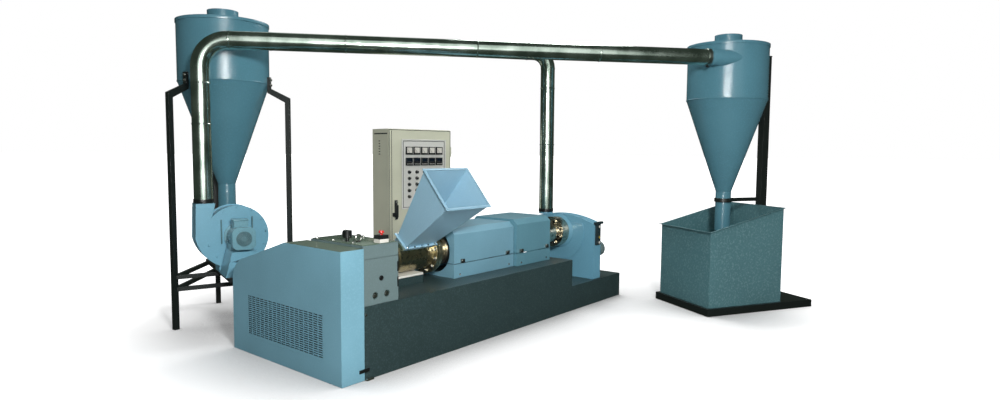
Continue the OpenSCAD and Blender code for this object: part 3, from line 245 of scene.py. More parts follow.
guard_face = -2.050
guard_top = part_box("belt_guard")[1][2]
change_near = 0.0003
change_far = 0.0006
cover_green = srgb(96, 114, 98)
slot_painted_shade = srgb(16, 26, 28)
guard_look = {"tint": srgb(123, 174, 192), "fleck": srgb(140, 188, 205),
              "fleck_size": 0.010, "fleck_cover": 0.4, "dullness": 0.36, "skin": 0.2}
guard_paint = sprayed_paint("guard_paint", **guard_look)
change_along(guard_paint, "Z", guard_top - change_far, guard_top - change_near, cover_green)
# Behind the guard face the vent paint turns near black: painted shade on the slots' cut walls.
vent_paint = sprayed_paint("vent_paint", **guard_look)
change_along(vent_paint, "X", guard_face + change_near, guard_face + change_far, slot_painted_shade)
# Near-black sheet of painted shade, behind the vent slots and in the cabinet's side slits.
painted_shade_dark = sprayed_paint("painted_shade_dark", srgb(10, 18, 20), srgb(22, 34, 36),
                            fleck_size=0.006, fleck_cover=0.4, dullness=0.7, skin=0.3)
dress(guard_paint, "belt_guard")
dress(vent_paint, "vent_panel")
vent_shade_sheet = bar("vent_shade_sheet", (-2.043, -0.272, 0.162), (-2.041, 0.722, 0.478), edge=0.0004)
fit(vent_shade_sheet, painted_shade_dark)

# Gearbox: a cast case split along a groove, in grey machine enamel, bolted down through foot pockets.
# A thin inspection cover with bolts lies on top; the sight glass, pipe ends and lifting eyes are fittings.
gear_grey = srgb(108, 128, 129)
gearbox_paint = sprayed_paint("gearbox_paint", gear_grey, shade(gear_grey, 1.3),
                              fleck_size=0.010, fleck_cover=0.3, dullness=0.34, skin=0.15)
cover_enamel = sprayed_paint("cover_enamel", cover_green, srgb(110, 128, 112),
                             fleck_size=0.012, fleck_cover=0.3, dullness=0.2, skin=0.1)
dress(gearbox_paint, "gearbox", "cutter_motor")
dress(black_steel, "gearbox_fittings")
upward = (0, 0, 1)
cover_top = 0.971
cover_plate = bar("cover_plate", (-1.842, -0.466, 0.965), (-1.528, 0.136, cover_top))
fit(cover_plate, cover_enamel)
rim_spots = [((x, y, cover_top), upward) for x in (-1.826, -1.544) for y in (-0.33, -0.10, 0.10)]
fit(copies("cover_bolts", hex_bolt, rim_spots, size=0.85), zinc)
pocket_back = -0.462
foot_spots = [((x, pocket_back, 0.5955), to_front) for x in (-1.74, -1.63)]
fit(copies("foot_bolts", hex_bolt, foot_spots, size=1.3), zinc)
sight_ring = turned("sight_ring", sides=32, radius=0.019, height=0.004,
                    steps=[(0.005, 0.002), (0.002, -0.005)])
sight_glass = copies("sight_glass", sight_ring, [((-1.685, -0.475, 0.717), to_front)])
fit(sight_glass, black_steel)
bpy.data.objects.remove(sight_ring)
clips = [bar("clip", (-1.531, -0.481, z), (-1.521, -0.474, z + 0.075)) for z in (0.63, 0.745)]
fit(join("pipe_clips", clips), black_steel)
eye_height = 1.001
eyes = []
for x, y in ((-1.751, -0.3014), (-1.6586, -0.0286)):
    bpy.ops.object.select_all(action="DESELECT")
    bpy.ops.mesh.primitive_torus_add(location=(x, y, eye_height), rotation=(math.pi / 2, 0.0, 0.0),
                                     major_radius=0.024, minor_radius=0.0078,
                                     major_segments=40, minor_segments=14)
    ring = bpy.context.object
    bpy.ops.object.transform_apply(location=True, rotation=True, scale=True)
    bpy.ops.object.mode_set(mode="EDIT")
    bpy.ops.mesh.select_all(action="SELECT")
    bpy.ops.transform.vertex_random(offset=0.0004, seed=2)
    bpy.ops.object.mode_set(mode="OBJECT")
    eyes.append(ring)
fit(join("eye_rings", eyes), zinc)

# Emergency stop: a pale plastic box with a dark lid and a red mushroom button.
# Moulded plastic, screwed to the gearbox top at the front edge.
pale_grey = srgb(226, 224, 214)
pale_plastic = sprayed_paint("pale_plastic", pale_grey, shade(pale_grey, 1.1),
                             fleck_size=0.008, fleck_cover=0.3, dullness=0.45, skin=0.05)
dark_plastic = sprayed_paint("dark_plastic", srgb(24, 28, 28), srgb(40, 46, 46),
                             fleck_size=0.004, fleck_cover=0.3, dullness=0.4, skin=0.08)
red_plastic = sprayed_paint("red_plastic", srgb(206, 38, 30), srgb(226, 62, 50),
                            fleck_size=0.006, fleck_cover=0.3, dullness=0.28, skin=0.04)
dress(pale_plastic, "estop_box", "feed_plate")
dress(dark_plastic, "estop_cover")
dress(red_plastic, "estop_button")
seal = bar("estop_seal", (-1.689, -0.467, 0.997), (-1.602, -0.397, 1.001), edge=0.0008)
fit(seal, dark_plastic)

# Main motor: a cast, finned motor behind the guard that drives the belts, in blue enamel.
# It is bolted by its feet to a plinth.
motor_paint = sprayed_paint("motor_paint", srgb(84, 124, 132), srgb(104, 142, 146),
                            fleck_size=0.012, fleck_cover=0.35, dullness=0.4, skin=0.2)
dress(motor_paint, "main_motor")

# Barrel: a turned steel tube, brown from heat, with the feed section bolted to it by a flange pair.
# Bright hex bolts ring the flange, and two steel straps go round the feed section.
warm_steel = srgb(178, 168, 138)
barrel_steel = sprayed_paint("barrel_steel", warm_steel, shade(warm_steel, 0.25),
                             fleck_size=0.03, fleck_cover=0.7, dullness=0.27, skin=0.1, metal=1.0)
band_grey = srgb(190, 188, 182)
heater_steel = sprayed_paint("heater_steel", band_grey, shade(band_grey, 0.6),
                             fleck_size=0.02, fleck_cover=0.5, dullness=0.3, skin=0.06, metal=1.0)
dress(barrel_steel, "barrel")
dress(heater_steel, "heater_bands")
axis_height = 0.755
to_feed = (-1, 0, 0)


def bolt_circle(face, radius, count, first):
    """Spots for bolts round the barrel's axis, on a flange face that looks to the feed end."""
    spots = []
    for step in range(count):
        angle = math.radians(360 / count * step + first)
        spots.append(((face, radius * math.cos(angle), axis_height + radius * math.sin(angle)), to_feed))
    return spots


flange_spots = bolt_circle(face=-0.815, radius=0.160, count=12, first=15)
fit(copies("flange_bolts", hex_bolt, flange_spots, size=1.25), zinc)


def hoop(name, radius, width, wall, bead=0.0):
    """Hoop round Z: an open tube, walled outwards and rounded at its edges."""
    bpy.ops.object.select_all(action="DESELECT")
    bpy.ops.mesh.primitive_cylinder_add(vertices=96, radius=radius, depth=width, end_fill_type="NOTHING")
    piece = bpy.context.object
    piece.name = name
    if bead:
        bpy.ops.object.mode_set(mode="EDIT")
        bpy.ops.mesh.select_all(action="SELECT")
        bpy.ops.mesh.subdivide(number_cuts=1)
        bpy.ops.object.mode_set(mode="OBJECT")
        for point in piece.data.vertices:
            if abs(point.co.z) < width / 4:
                point.co.xy *= (radius + bead) / point.co.xy.length
    wall_step = piece.modifiers.new("wall", "SOLIDIFY")
    wall_step.thickness = wall
    wall_step.offset = 1.0
    bpy.ops.object.modifier_apply(modifier=wall_step.name)
    edge_step = piece.modifiers.new("edge", "BEVEL")
    edge_step.width = min(wall, width) * 0.3
    edge_step.segments = 2
    edge_step.limit_method = "ANGLE"
    bpy.ops.object.modifier_apply(modifier=edge_step.name)
    return piece


along_line = (1, 0, 0)
strap = hoop("strap", radius=0.1403, width=0.024, wall=0.003)
strap_spots = [((x, 0.0, axis_height), along_line) for x in (-1.185, -0.868)]
fit(copies("feed_straps", strap, strap_spots), barrel_steel)
bpy.data.objects.remove(strap)

# Feed hopper: folded blue sheet that leans to the front, with a folded rim round its mouth.
# A flange with small bolts joins it to the throat chute on the feed section.
hopper_paint = sprayed_paint("hopper_paint", srgb(146, 185, 204), srgb(160, 198, 216),
                             fleck_size=0.012, fleck_cover=0.3, dullness=0.3, skin=0.12)
dress(hopper_paint, "feed_hopper", "feed_throat")


def border(name, middle, across, up, size, width, thick):
    """Flat border strip round a rectangle: a sheet that is inset, opened and thickened."""
    bpy.ops.object.select_all(action="DESELECT")
    bpy.ops.mesh.primitive_plane_add(size=1.0)
    piece = bpy.context.object
    piece.name = name
    piece.scale = (size[0], size[1], 1.0)
    bpy.ops.object.transform_apply(location=True, rotation=True, scale=True)
    bpy.ops.object.mode_set(mode="EDIT")
    bpy.ops.mesh.select_all(action="SELECT")
    bpy.ops.mesh.inset(thickness=width)
    bpy.ops.mesh.delete(type="FACE")
    bpy.ops.mesh.select_all(action="SELECT")
    bpy.ops.mesh.extrude_region_move(TRANSFORM_OT_translate={"value": (0.0, 0.0, thick)})
    bpy.ops.mesh.select_all(action="SELECT")
    bpy.ops.mesh.normals_make_consistent(inside=False)
    bpy.ops.mesh.bevel(offset=thick * 0.25, segments=2, affect="EDGES")
    bpy.ops.object.mode_set(mode="OBJECT")
    across = Vector(across).normalized()
    up = Vector(up).normalized()
    stand = Matrix((across, up, across.cross(up))).transposed().to_4x4()
    piece.data.transform(Matrix.Translation(middle) @ stand)
    return piece


mouth_middle = (-0.9, -0.4995, 1.339)
mouth_up = (0, 0.253, 0.298)
mouth_rim = border("mouth_rim", mouth_middle, along_line, mouth_up,
                   size=(0.508, 0.399), width=0.012, thick=0.004)
fit(mouth_rim, hopper_paint)
flange_middle = Vector((-0.9875, -0.1045, 0.893))
flange_thick = 0.007
throat_flange = border("throat_flange", flange_middle, along_line, (0, 0.103, 0.09),
                       size=(0.371, 0.183), width=0.0215, thick=flange_thick)
fit(throat_flange, hopper_paint)
lean = Vector((0.0, -0.658, 0.753))
flange_up = Vector((0.0, 0.753, 0.658))
bolt_row = 0.0815
bolt_pitch = 0.0775
throat_spots = []
for step in range(5):
    for side in (-bolt_row, bolt_row):
        along = Vector((bolt_pitch * (step - 2), 0.0, 0.0))
        throat_spots.append((flange_middle + lean * flange_thick + along + flange_up * side, lean))
fit(copies("throat_bolts", hex_bolt, throat_spots, size=0.55), zinc)

# Barrel covers: folded sheet trays with hinged lids over the heated barrel, in light blue enamel. The short
# cover's enamel is a darker copy: painted shade.
# Toggle latches with black grips hold the lids down, and screws hold the trays to the base.
cover_paint = sprayed_paint("cover_paint", srgb(118, 164, 182), srgb(132, 177, 193),
                            fleck_size=0.012, fleck_cover=0.3, dullness=0.40, skin=0.12)
# Darker copy of the cover paint for the short cover: painted shade where the light falls off along the line.
shaded_cover_paint = sprayed_paint("shaded_cover_paint", srgb(98, 147, 162), srgb(112, 160, 174),
                            fleck_size=0.012, fleck_cover=0.3, dullness=0.40, skin=0.12)
dress(cover_paint, "long_tray", "long_lid")
dress(shaded_cover_paint, "short_tray", "short_lid")
dress(zinc, "long_latches", "short_latches")
long_front = -0.25
short_front = -0.285
latch_thick = 0.012
for lid, places, tray_front in (("long_lid", (-0.575, 0.060), long_front),
                                ("short_lid", (0.232, 0.658), short_front)):
    front = tray_front - latch_thick
    grips = []
    for x in places:
        grips.append(bar("grip", (x - 0.002, front - 0.008, 0.662), (x + 0.022, front + 0.001, 0.693)))
        tongue_low = (x - 0.022, front - 0.004, 0.674)
        tongue_high = (x - 0.006, front + 0.001, 0.681)
        grips.append(bar("grip", tongue_low, tongue_high, edge=0.001))
    fit(join(lid + "_grips", grips), dark_plastic, lid)
screw_height = 0.560
tray_places = ((-0.60, long_front), (0.09, long_front), (0.24, short_front), (0.66, short_front))
tray_spots = [((x, y, screw_height), to_front) for x, y in tray_places]
fit(copies("tray_screws", hex_bolt, tray_spots, size=0.6), zinc)

# Die head: turned and polished steel flanges on a neck, with patches of brown heat tint.
# Large socket screws clamp the second flange; a black hex in each socket is painted shade.
die_steel = sprayed_paint("die_steel", srgb(196, 190, 172), srgb(70, 60, 42),
                          fleck_size=0.03, fleck_cover=0.7, dullness=0.22, skin=0.04, metal=1.0)
dress(die_steel, "die_head")
socket_screw = turned("socket_screw", sides=32, radius=0.027, height=0.020,
                      steps=[(0.003, 0.002), (0.008, -0.014)])
# Black hex set in each socket: painted shade in the recess.
socket_shade = turned("socket_shade", sides=6, radius=0.0165, height=0.003, steps=[(0.002, 0.0005)])
shade_lift = 0.0075
die_spots = bolt_circle(face=1.148, radius=0.124, count=8, first=22)
fit(copies("die_screws", socket_screw, die_spots), die_steel)
shade_spots = [((x - shade_lift, y, z), way) for (x, y, z), way in die_spots]
fit(copies("die_sockets", socket_shade, shade_spots), black_steel)
bpy.data.objects.remove(socket_screw)
bpy.data.objects.remove(socket_shade)

# Cutter hood: a welded sheet housing round the knives with a shallow cone at the die, in blue enamel.
# A dark strip of push buttons is screwed to its front edge.
hood_paint = sprayed_paint("hood_paint", srgb(112, 170, 194), srgb(128, 184, 206),
                           fleck_size=0.012, fleck_cover=0.3, dullness=0.3, skin=0.12)
yellow = srgb(206, 180, 60)
button_yellow = sprayed_paint("button_yellow", yellow, shade(yellow, 1.2),
                              fleck_size=0.004, fleck_cover=0.3, dullness=0.35, skin=0.04)
dress(hood_paint, "cutter_hood", "cutter_collar")
switch_grey = sprayed_paint("switch_grey", srgb(40, 56, 60), srgb(58, 76, 80),
                            fleck_size=0.006, fleck_cover=0.3, dullness=0.4, skin=0.1)
dress(switch_grey, "cutter_switches")
button_cap = turned("button_cap", sides=28, radius=0.0145, height=0.002,
                    steps=[(0.002, 0.0015), (0.004, -0.001)])
hood_middle = 1.385
strip_face = -0.483
for name, z, finish in (("button_top", 0.8275, pale_plastic),
                        ("button_mid", 0.7135, button_yellow),
                        ("button_low", 0.6565, pale_plastic)):
    fit(copies(name, button_cap, [((hood_middle, strip_face, z), to_front)]), finish)
bpy.data.objects.remove(button_cap)


# Air ducts: rolled bright sheet-steel pipe in lengths that are joined by beads and clamp bands.
# The low bands are black and the high ones bare steel, and each closes on a small black lug.
def drawn_steel(name, tint, dark, dullness):
    """Bright sheet steel with cloudy marks and fine rolling streaks."""
    mat = bpy.data.materials.new(name)
    mat.use_nodes = True
    nodes = mat.node_tree.nodes
    links = mat.node_tree.links
    shader = nodes["Principled BSDF"]
    place = nodes.new("ShaderNodeTexCoord")
    clouds = nodes.new("ShaderNodeTexNoise")
    clouds.inputs["Scale"].default_value = 5.0
    clouds.inputs["Detail"].default_value = 6.0
    streaks = nodes.new("ShaderNodeTexNoise")
    streaks.inputs["Scale"].default_value = 60.0
    streaks.inputs["Detail"].default_value = 4.0
    for texture in (clouds, streaks):
        links.new(place.outputs["Object"], texture.inputs["Vector"])
    tone = nodes.new("ShaderNodeValToRGB")
    tone.color_ramp.elements[0].position = 0.35
    tone.color_ramp.elements[0].color = dark
    tone.color_ramp.elements[1].position = 0.62
    tone.color_ramp.elements[1].color = tint
    links.new(clouds.outputs["Fac"], tone.inputs["Fac"])
    links.new(tone.outputs["Color"], shader.inputs["Base Color"])
    rough = nodes.new("ShaderNodeMapRange")
    rough.inputs["To Min"].default_value = dullness - 0.05
    rough.inputs["To Max"].default_value = dullness + 0.10
    links.new(clouds.outputs["Fac"], rough.inputs["Value"])
    links.new(rough.outputs["Result"], shader.inputs["Roughness"])
    bump = nodes.new("ShaderNodeBump")
    bump.inputs["Strength"].default_value = 0.06
    bump.inputs["Distance"].default_value = 0.001
    links.new(streaks.outputs["Fac"], bump.inputs["Height"])
    links.new(bump.outputs["Normal"], shader.inputs["Normal"])
    shader.inputs["Metallic"].default_value = 1.0
    return mat


duct_steel = drawn_steel("duct_steel", srgb(216, 228, 218), srgb(164, 180, 168), dullness=0.17)
dress(duct_steel, "suction_riser", "suction_duct", "delivery_riser", "delivery_duct")
band_finish = sprayed_paint("band_finish", **black_look)
black_below = 1.9
bare_above = 2.0
steel_above = change_along(band_finish, "Z", black_below, bare_above, srgb(150, 158, 152))
band_shader = band_finish.node_tree.nodes["Principled BSDF"]
band_finish.node_tree.links.new(steel_above, band_shader.inputs["Metallic"])
dress(band_finish, "duct_bands")


def level_way(degrees):
    """Level direction at an angle from the line's own direction."""
    return Vector((math.cos(math.radians(degrees)), math.sin(math.radians(degrees)), 0.0))


seam_bead = hoop("seam_bead", radius=0.0802, width=0.012, wall=0.0015, bead=0.002)
hood_riser = (hood_middle, 0.235)
fan_riser = (-1.9616, 1.5999)
suction_start = Vector((*hood_riser, 2.754))
delivery_start = Vector((*fan_riser, 2.600))
suction_way = level_way(143.47)
delivery_way = level_way(-40.64)
bead_spots = [(suction_start + suction_way * run, suction_way) for run in (0.25, 1.10, 2.05)]
bead_spots += [(delivery_start + delivery_way * run, delivery_way) for run in (0.25, 1.25, 2.45, 3.65)]
bead_spots += [((*hood_riser, z), upward) for z in (1.72, 2.36)]
bead_spots += [((*fan_riser, z), upward) for z in (1.86, 2.22)]
fit(copies("duct_seams", seam_bead, bead_spots), duct_steel)
bpy.data.objects.remove(seam_bead)
band_radius = 0.0835
suction_run = 2.9925
delivery_run = 4.7908
front_left = (-0.62, -0.78, 0)
downward = (0, 0, -1)
lug_places = (((*hood_riser, 0.968), front_left),
              ((*fan_riser, 1.179), front_left),
              (suction_start + suction_way * suction_run, downward),
              (delivery_start + delivery_way * delivery_run, downward))
lug_spots = [(Vector(at) + Vector(out) * band_radius, out) for at, out in lug_places]
lug = bar("lug", (-0.013, -0.017, 0.0), (0.013, 0.017, 0.018))
fit(copies("band_lugs", lug, lug_spots), black_steel)
bpy.data.objects.remove(lug)

# Cyclones: rolled sheet drums with long cones and flat roofs, welded, in teal enamel.
# A folded lip runs round each roof, and a weld bead round the joint of drum and cone.
cyclone_blue = srgb(85, 134, 149)
cyclone_fleck = shade(cyclone_blue, 1.25)
cyclone_paint = sprayed_paint("cyclone_paint", cyclone_blue, cyclone_fleck,
                              fleck_size=0.012, fleck_cover=0.4, dullness=0.2, skin=0.42)
dress(cyclone_paint, "left_cyclone", "left_roof", "left_drop_pipe")
dress(cyclone_paint, "right_cyclone", "right_roof", "right_drop_pipe")
left_axis = (-1.536, 1.991)
right_axis = (2.190, -1.533)
drum_feet = ((*left_axis, 2.275), (*right_axis, 2.200))
lip_rise = 0.557
roof_lip = hoop("roof_lip", radius=0.4122, width=0.030, wall=0.006)
lip_spots = [((x, y, z + lip_rise), upward) for x, y, z in drum_feet]
fit(copies("roof_lips", roof_lip, lip_spots), cyclone_paint)
weld = hoop("weld", radius=0.4120, width=0.010, wall=0.002, bead=0.0015)
fit(copies("drum_welds", weld, [(at, upward) for at in drum_feet]), cyclone_paint)
bpy.data.objects.remove(roof_lip)
bpy.data.objects.remove(weld)

# Blower stand: three bent square tubes and rails, welded and painted black, that carry the cyclone.
# The leg tabs are bolted through the drum wall.
stand_paint = sprayed_paint("stand_paint", srgb(24, 30, 28), srgb(42, 50, 47),
                            fleck_size=0.008, fleck_cover=0.35, dullness=0.34, skin=0.15)
dress(stand_paint, "stand_legs", "stand_rails", "blower_deck", "bin_skid", "mast", "mast_brackets")
stand_turn = -17.3
tab_reach = 0.4387
tab_spots = []
for angle in (90, 210, 330):
    out = level_way(angle + stand_turn)
    for z in (2.262, 2.312):
        tab_spots.append((Vector((*left_axis, z)) + out * tab_reach, out))
fit(copies("tab_bolts", hex_bolt, tab_spots), zinc)

# Blower: a welded scroll with flat side plates, driven by a small finned motor on a pedestal.
# Bolts ring the side plate, two stay rods stand in front of it, and the motor's fan end has a grille.
blower_blue = srgb(116, 172, 193)
blower_paint = sprayed_paint("blower_paint", blower_blue, shade(blower_blue, 1.2),
                             fleck_size=0.012, fleck_cover=0.35, dullness=0.3, skin=0.14)
dress(blower_paint, "blower_scroll", "motor_pedestal")
fan_grey = srgb(112, 163, 176)
fan_motor_paint = sprayed_paint("fan_motor_paint", fan_grey, shade(fan_grey, 0.64),
                                fleck_size=0.012, fleck_cover=0.4, dullness=0.34, skin=0.2)
dress(fan_motor_paint, "blower_motor")
at_stand = Matrix.Translation((*left_axis, 0.0)) @ Matrix.Rotation(math.radians(stand_turn), 4, "Z")


def set_in(axes, piece, material, body="frame"):
    """Sets a piece that was made in a group's own axes in its place, and fits it."""
    piece.data.transform(axes)
    fit(piece, material, body)


fan_x = -0.033
fan_z = 0.866
plate_face = -0.606
bolt_reach = 0.252
first_bolt = 118
bolt_step = 28
face_spots = []
for step in range(11):
    angle = math.radians(first_bolt - bolt_step * step)
    spot = (fan_x + bolt_reach * math.cos(angle), plate_face, fan_z + bolt_reach * math.sin(angle))
    face_spots.append((spot, to_front))
set_in(at_stand, copies("scroll_bolts", hex_bolt, face_spots, size=0.6), blower_paint)
stay = turned("stay", sides=14, radius=0.006, height=0.20,
              steps=[(0.001, 0.004), (-0.004, 0.004), (0.0, 0.006), (0.003, 0.003)])
stay_front = -0.618
stay_spots = [((fan_x + x, stay_front, z), upward) for x, z in ((-0.135, 0.80), (0.128, 0.82))]
set_in(at_stand, copies("stay_rods", stay, stay_spots), motor_paint)
bpy.data.objects.remove(stay)
fin_count = 24
fins = []
for step in range(fin_count):
    fin = bar("fin", (-0.0015, -0.790, 0.086), (0.0015, -0.640, 0.100), edge=0.0005)
    fin.data.transform(Matrix.Rotation(math.radians(360 / fin_count * (step + 0.5)), 4, "Y"))
    fin.data.transform(Matrix.Translation((fan_x, 0.0, fan_z)))
    fins.append(fin)
set_in(at_stand, join("motor_fins", fins), fan_motor_paint)
ring_steps = [(0.005, 0.003), (0.004, -0.003)]
grille = turned("grille", sides=40, radius=0.066, height=0.002, steps=ring_steps * 4 + [(0.010, 0.004)])
motor_end = -0.886
fan_grille = copies("fan_grille", grille, [((fan_x, motor_end, fan_z), to_front)])
set_in(at_stand, fan_grille, motor_paint)
bpy.data.objects.remove(grille)
motor_radius = 0.096
box_height = 0.052
lid_z = fan_z + motor_radius + box_height
box_lid = bar("box_lid", (-0.099, -0.779, lid_z), (0.033, -0.657, lid_z + 0.010), edge=0.003)
set_in(at_stand, box_lid, fan_motor_paint)
to_back = (0, 1, 0)
boss_ring = hoop("boss_ring", radius=0.058, width=0.008, wall=0.004)
pedestal_ring = copies("pedestal_ring", boss_ring, [((fan_x, -0.905, 0.648), to_back)])
set_in(at_stand, pedestal_ring, blower_paint)
bpy.data.objects.remove(boss_ring)

# Pellet bin: welded sheet walls with outward rims on a black base frame, in grey-blue speckled paint.
# A black mast on the frame holds the cyclone by bolted brackets.
bin_paint = sprayed_paint("bin_paint", srgb(82, 123, 129), srgb(116, 154, 158),
                          fleck_size=0.019, fleck_cover=0.65, dullness=0.36, skin=0.3)
dress(bin_paint, "bin_floor", "bin_low_wall", "bin_high_wall", "bin_side_walls")
bin_turn = -29.5
at_bin = Matrix.Translation((*right_axis, 0.0)) @ Matrix.Rotation(math.radians(bin_turn), 4, "Z")
bracket_reach = 0.448
bracket_half = 0.040
mast_spots = []
for z in (2.3695, 2.5955):
    for side in (-1, 1):
        for rise in (-0.025, 0.025):
            mast_spots.append(((bracket_reach, bracket_half * side, z + rise), (0, side, 0)))
set_in(at_bin, copies("mast_bolts", hex_bolt, mast_spots), zinc)
mast_cap = bar("mast_cap", (0.478, -0.044, 2.689), (0.566, 0.044, 2.699), edge=0.003)
set_in(at_bin, mast_cap, stand_paint)

# Control cabinet: a folded sheet case on a plinth with a hinged door, in pale grey-green powder coat.
# The door carries a pale panel with meters, controllers and rotary switches, and a swing handle.
beige = srgb(214, 216, 193)
cabinet_paint = sprayed_paint("cabinet_paint", beige, shade(beige, 1.06),
                              fleck_size=0.008, fleck_cover=0.3, dullness=0.5, skin=0.15)
plinth_paint = sprayed_paint("plinth_paint", srgb(70, 70, 64), srgb(90, 90, 84),
                             fleck_size=0.008, fleck_cover=0.3, dullness=0.5, skin=0.15)
panel_paint = sprayed_paint("panel_paint", srgb(222, 223, 216), srgb(232, 233, 228),
                            fleck_size=0.008, fleck_cover=0.3, dullness=0.5, skin=0.05)
display_glass = sprayed_paint("display_glass", srgb(14, 26, 40), srgb(22, 38, 54),
                              fleck_size=0.02, fleck_cover=0.3, dullness=0.12, skin=0.0)
dress(cabinet_paint, "cabinet_shell", "cabinet_door")
dress(plinth_paint, "cabinet_plinth")
dress(panel_paint, "control_panel")
dress(dark_plastic, "panel_gauges", "panel_knobs", "door_handle")
cabinet_middle = (0.837, 1.744, 0.0)
cabinet_turn = -10.4
at_cabinet = Matrix.Translation(cabinet_middle) @ Matrix.Rotation(math.radians(cabinet_turn), 4, "Z")


def on_door(piece, material):
    """Sets a piece that was made in the cabinet's own axes on the door."""
    set_in(at_cabinet, piece, material, "cabinet_door")


def front_plate(name, x, z, wide, high, face, thick, inset, sink):
    """Plate on the door front whose face is inset and sunk."""
    low = (x - wide / 2, face - thick, z - high / 2)
    piece = bar(name, low, (x + wide / 2, face, z + high / 2), min(0.0015, thick * 0.3))
    pick_faces(piece, lambda centre, normal: normal.y < -0.9)
    bpy.ops.mesh.inset(thickness=inset)
    bpy.ops.mesh.extrude_region_move(TRANSFORM_OT_translate={"value": (0.0, sink, 0.0)})
    bpy.ops.object.mode_set(mode="OBJECT")
    return piece


panel_middle = (0.045, -0.0062, 1.353)
panel_frame = border("panel_frame", panel_middle, along_line, upward,
                     size=(0.610, 0.812), width=0.006, thick=0.002)
on_door(panel_frame, dark_plastic)
panel_field = border("panel_field", panel_middle, along_line, upward,
                     size=(0.652, 0.852), width=0.012, thick=0.003)
on_door(panel_field, panel_paint)
door_edge = border("door_edge", (0.0, -0.0002, 1.0), along_line, upward,
                   size=(0.892, 1.782), width=0.006, thick=0.0016)
on_door(door_edge, dark_plastic)
door_fold = bar("door_fold", (-0.4175, -0.0018, 0.125), (-0.4105, -0.0002, 1.875), edge=0.0005)
on_door(door_fold, dark_plastic)
first_column = -0.175
column_pitch = 0.110
gauge_face = -0.0198
dial_row = 1.645
pivot_row = 1.616
mask_row = 1.602
window_row = 1.525
key_start = -0.034
key_pitch = 0.019
key_wide = 0.011
needle_lean = Matrix.Rotation(math.radians(-38), 4, "Y")
dials = []
needles = []
masks = []
windows = []
keys = []
for step in range(5):
    x = first_column + column_pitch * step
    dials.append(front_plate("dial", x, dial_row, wide=0.072, high=0.066, face=gauge_face,
                             thick=0.004, inset=0.003, sink=0.0015))
    masks.append(front_plate("mask", x, mask_row, wide=0.080, high=0.014, face=gauge_face,
                             thick=0.003, inset=0.002, sink=0.0005))
    needle = bar("needle", (-0.0012, -0.0245, 0.0), (0.0012, -0.0232, 0.052), edge=0.0003)
    needle.data.transform(Matrix.Translation((x, 0.0, pivot_row)) @ needle_lean)
    needles.append(needle)
    windows.append(front_plate("window", x, window_row, wide=0.074, high=0.040, face=gauge_face,
                               thick=0.002, inset=0.003, sink=0.001))
    for key in range(4):
        left = x + key_start + key_pitch * key
        keys.append(bar("key", (left, -0.0225, 1.473), (left + key_wide, gauge_face, 1.481), edge=0.0008))
on_door(join("meter_dials", dials), pale_plastic)
on_door(join("meter_masks", masks), dark_plastic)
on_door(join("meter_needles", needles), dark_plastic)
on_door(join("controller_windows", windows), display_glass)
on_door(join("controller_keys", keys), pale_plastic)
knob_ring = hoop("knob_ring", radius=0.0175, width=0.004, wall=0.0045)
pointer = bar("pointer", (-0.0016, 0.002, 0.0), (0.0016, 0.015, 0.0012), edge=0.0004)
first_row = 1.378
row_pitch = 0.0747
ring_face = -0.0078
knob_face = -0.0320
ring_spots = []
line_spots = []
for row in range(5):
    for column in range(5):
        x = first_column + column_pitch * column
        z = first_row - row_pitch * row
        ring_spots.append(((x, ring_face, z), to_front))
        line_spots.append(((x, knob_face, z), to_front))
on_door(copies("knob_rings", knob_ring, ring_spots), zinc)
on_door(copies("knob_pointers", pointer, line_spots), pale_plastic)
stop_cap = turned("stop_cap", sides=32, radius=0.0185, height=0.026, steps=[(0.003, 0.003)])
panel_stop = copies("panel_stop", stop_cap, [((-0.065, -0.0085, 1.0792), to_front)])
on_door(panel_stop, red_plastic)
for pattern in (knob_ring, pointer, stop_cap):
    bpy.data.objects.remove(pattern)
swing = bar("swing_lever", (-0.378, -0.040, 0.842), (-0.342, -0.028, 0.985), edge=0.004)
pick_faces(swing, lambda centre, normal: normal.z < -0.9)
bpy.ops.mesh.extrude_region_move(TRANSFORM_OT_translate={"value": (-0.012, 0.0, -0.030)})
bpy.ops.object.mode_set(mode="OBJECT")
on_door(swing, dark_plastic)
foot = bar("handle_foot", (-0.405, -0.024, 0.846), (-0.370, -0.0002, 0.892), edge=0.003)
on_door(foot, dark_plastic)
lock = turned("lock", sides=24, radius=0.011, height=0.004, steps=[(0.002, 0.0015), (0.003, -0.002)])
on_door(copies("door_lock", lock, [((-0.360, -0.029, 1.020), to_front)]), zinc)
bpy.data.objects.remove(lock)
# The side slits are dark strips of painted shade for vent openings.
slits = [bar("slit", (-0.4515, 0.040, 1.836), (-0.4495, 0.345, 1.850), edge=0.0005)]
lowest_slit = 1.590
slit_pitch = 0.032
for row in range(6):
    low = lowest_slit + slit_pitch * row
    slits.append(bar("slit", (-0.4515, 0.205, low), (-0.4495, 0.240, low + 0.010), edge=0.0005))
set_in(at_cabinet, join("side_slits", slits), painted_shade_dark)


# Floor: a wide pale sheet under the line. It shows white in full light and keeps the soft shadows, and
# painted shade darkens it close to the line.
# Far from the line it is plain white.
def math_of(owner, operation, first, second):
    """Math node on what two sockets give."""
    node = owner.node_tree.nodes.new("ShaderNodeMath")
    node.operation = operation
    owner.node_tree.links.new(first, node.inputs[0])
    owner.node_tree.links.new(second, node.inputs[1])
    return node.outputs["Value"]


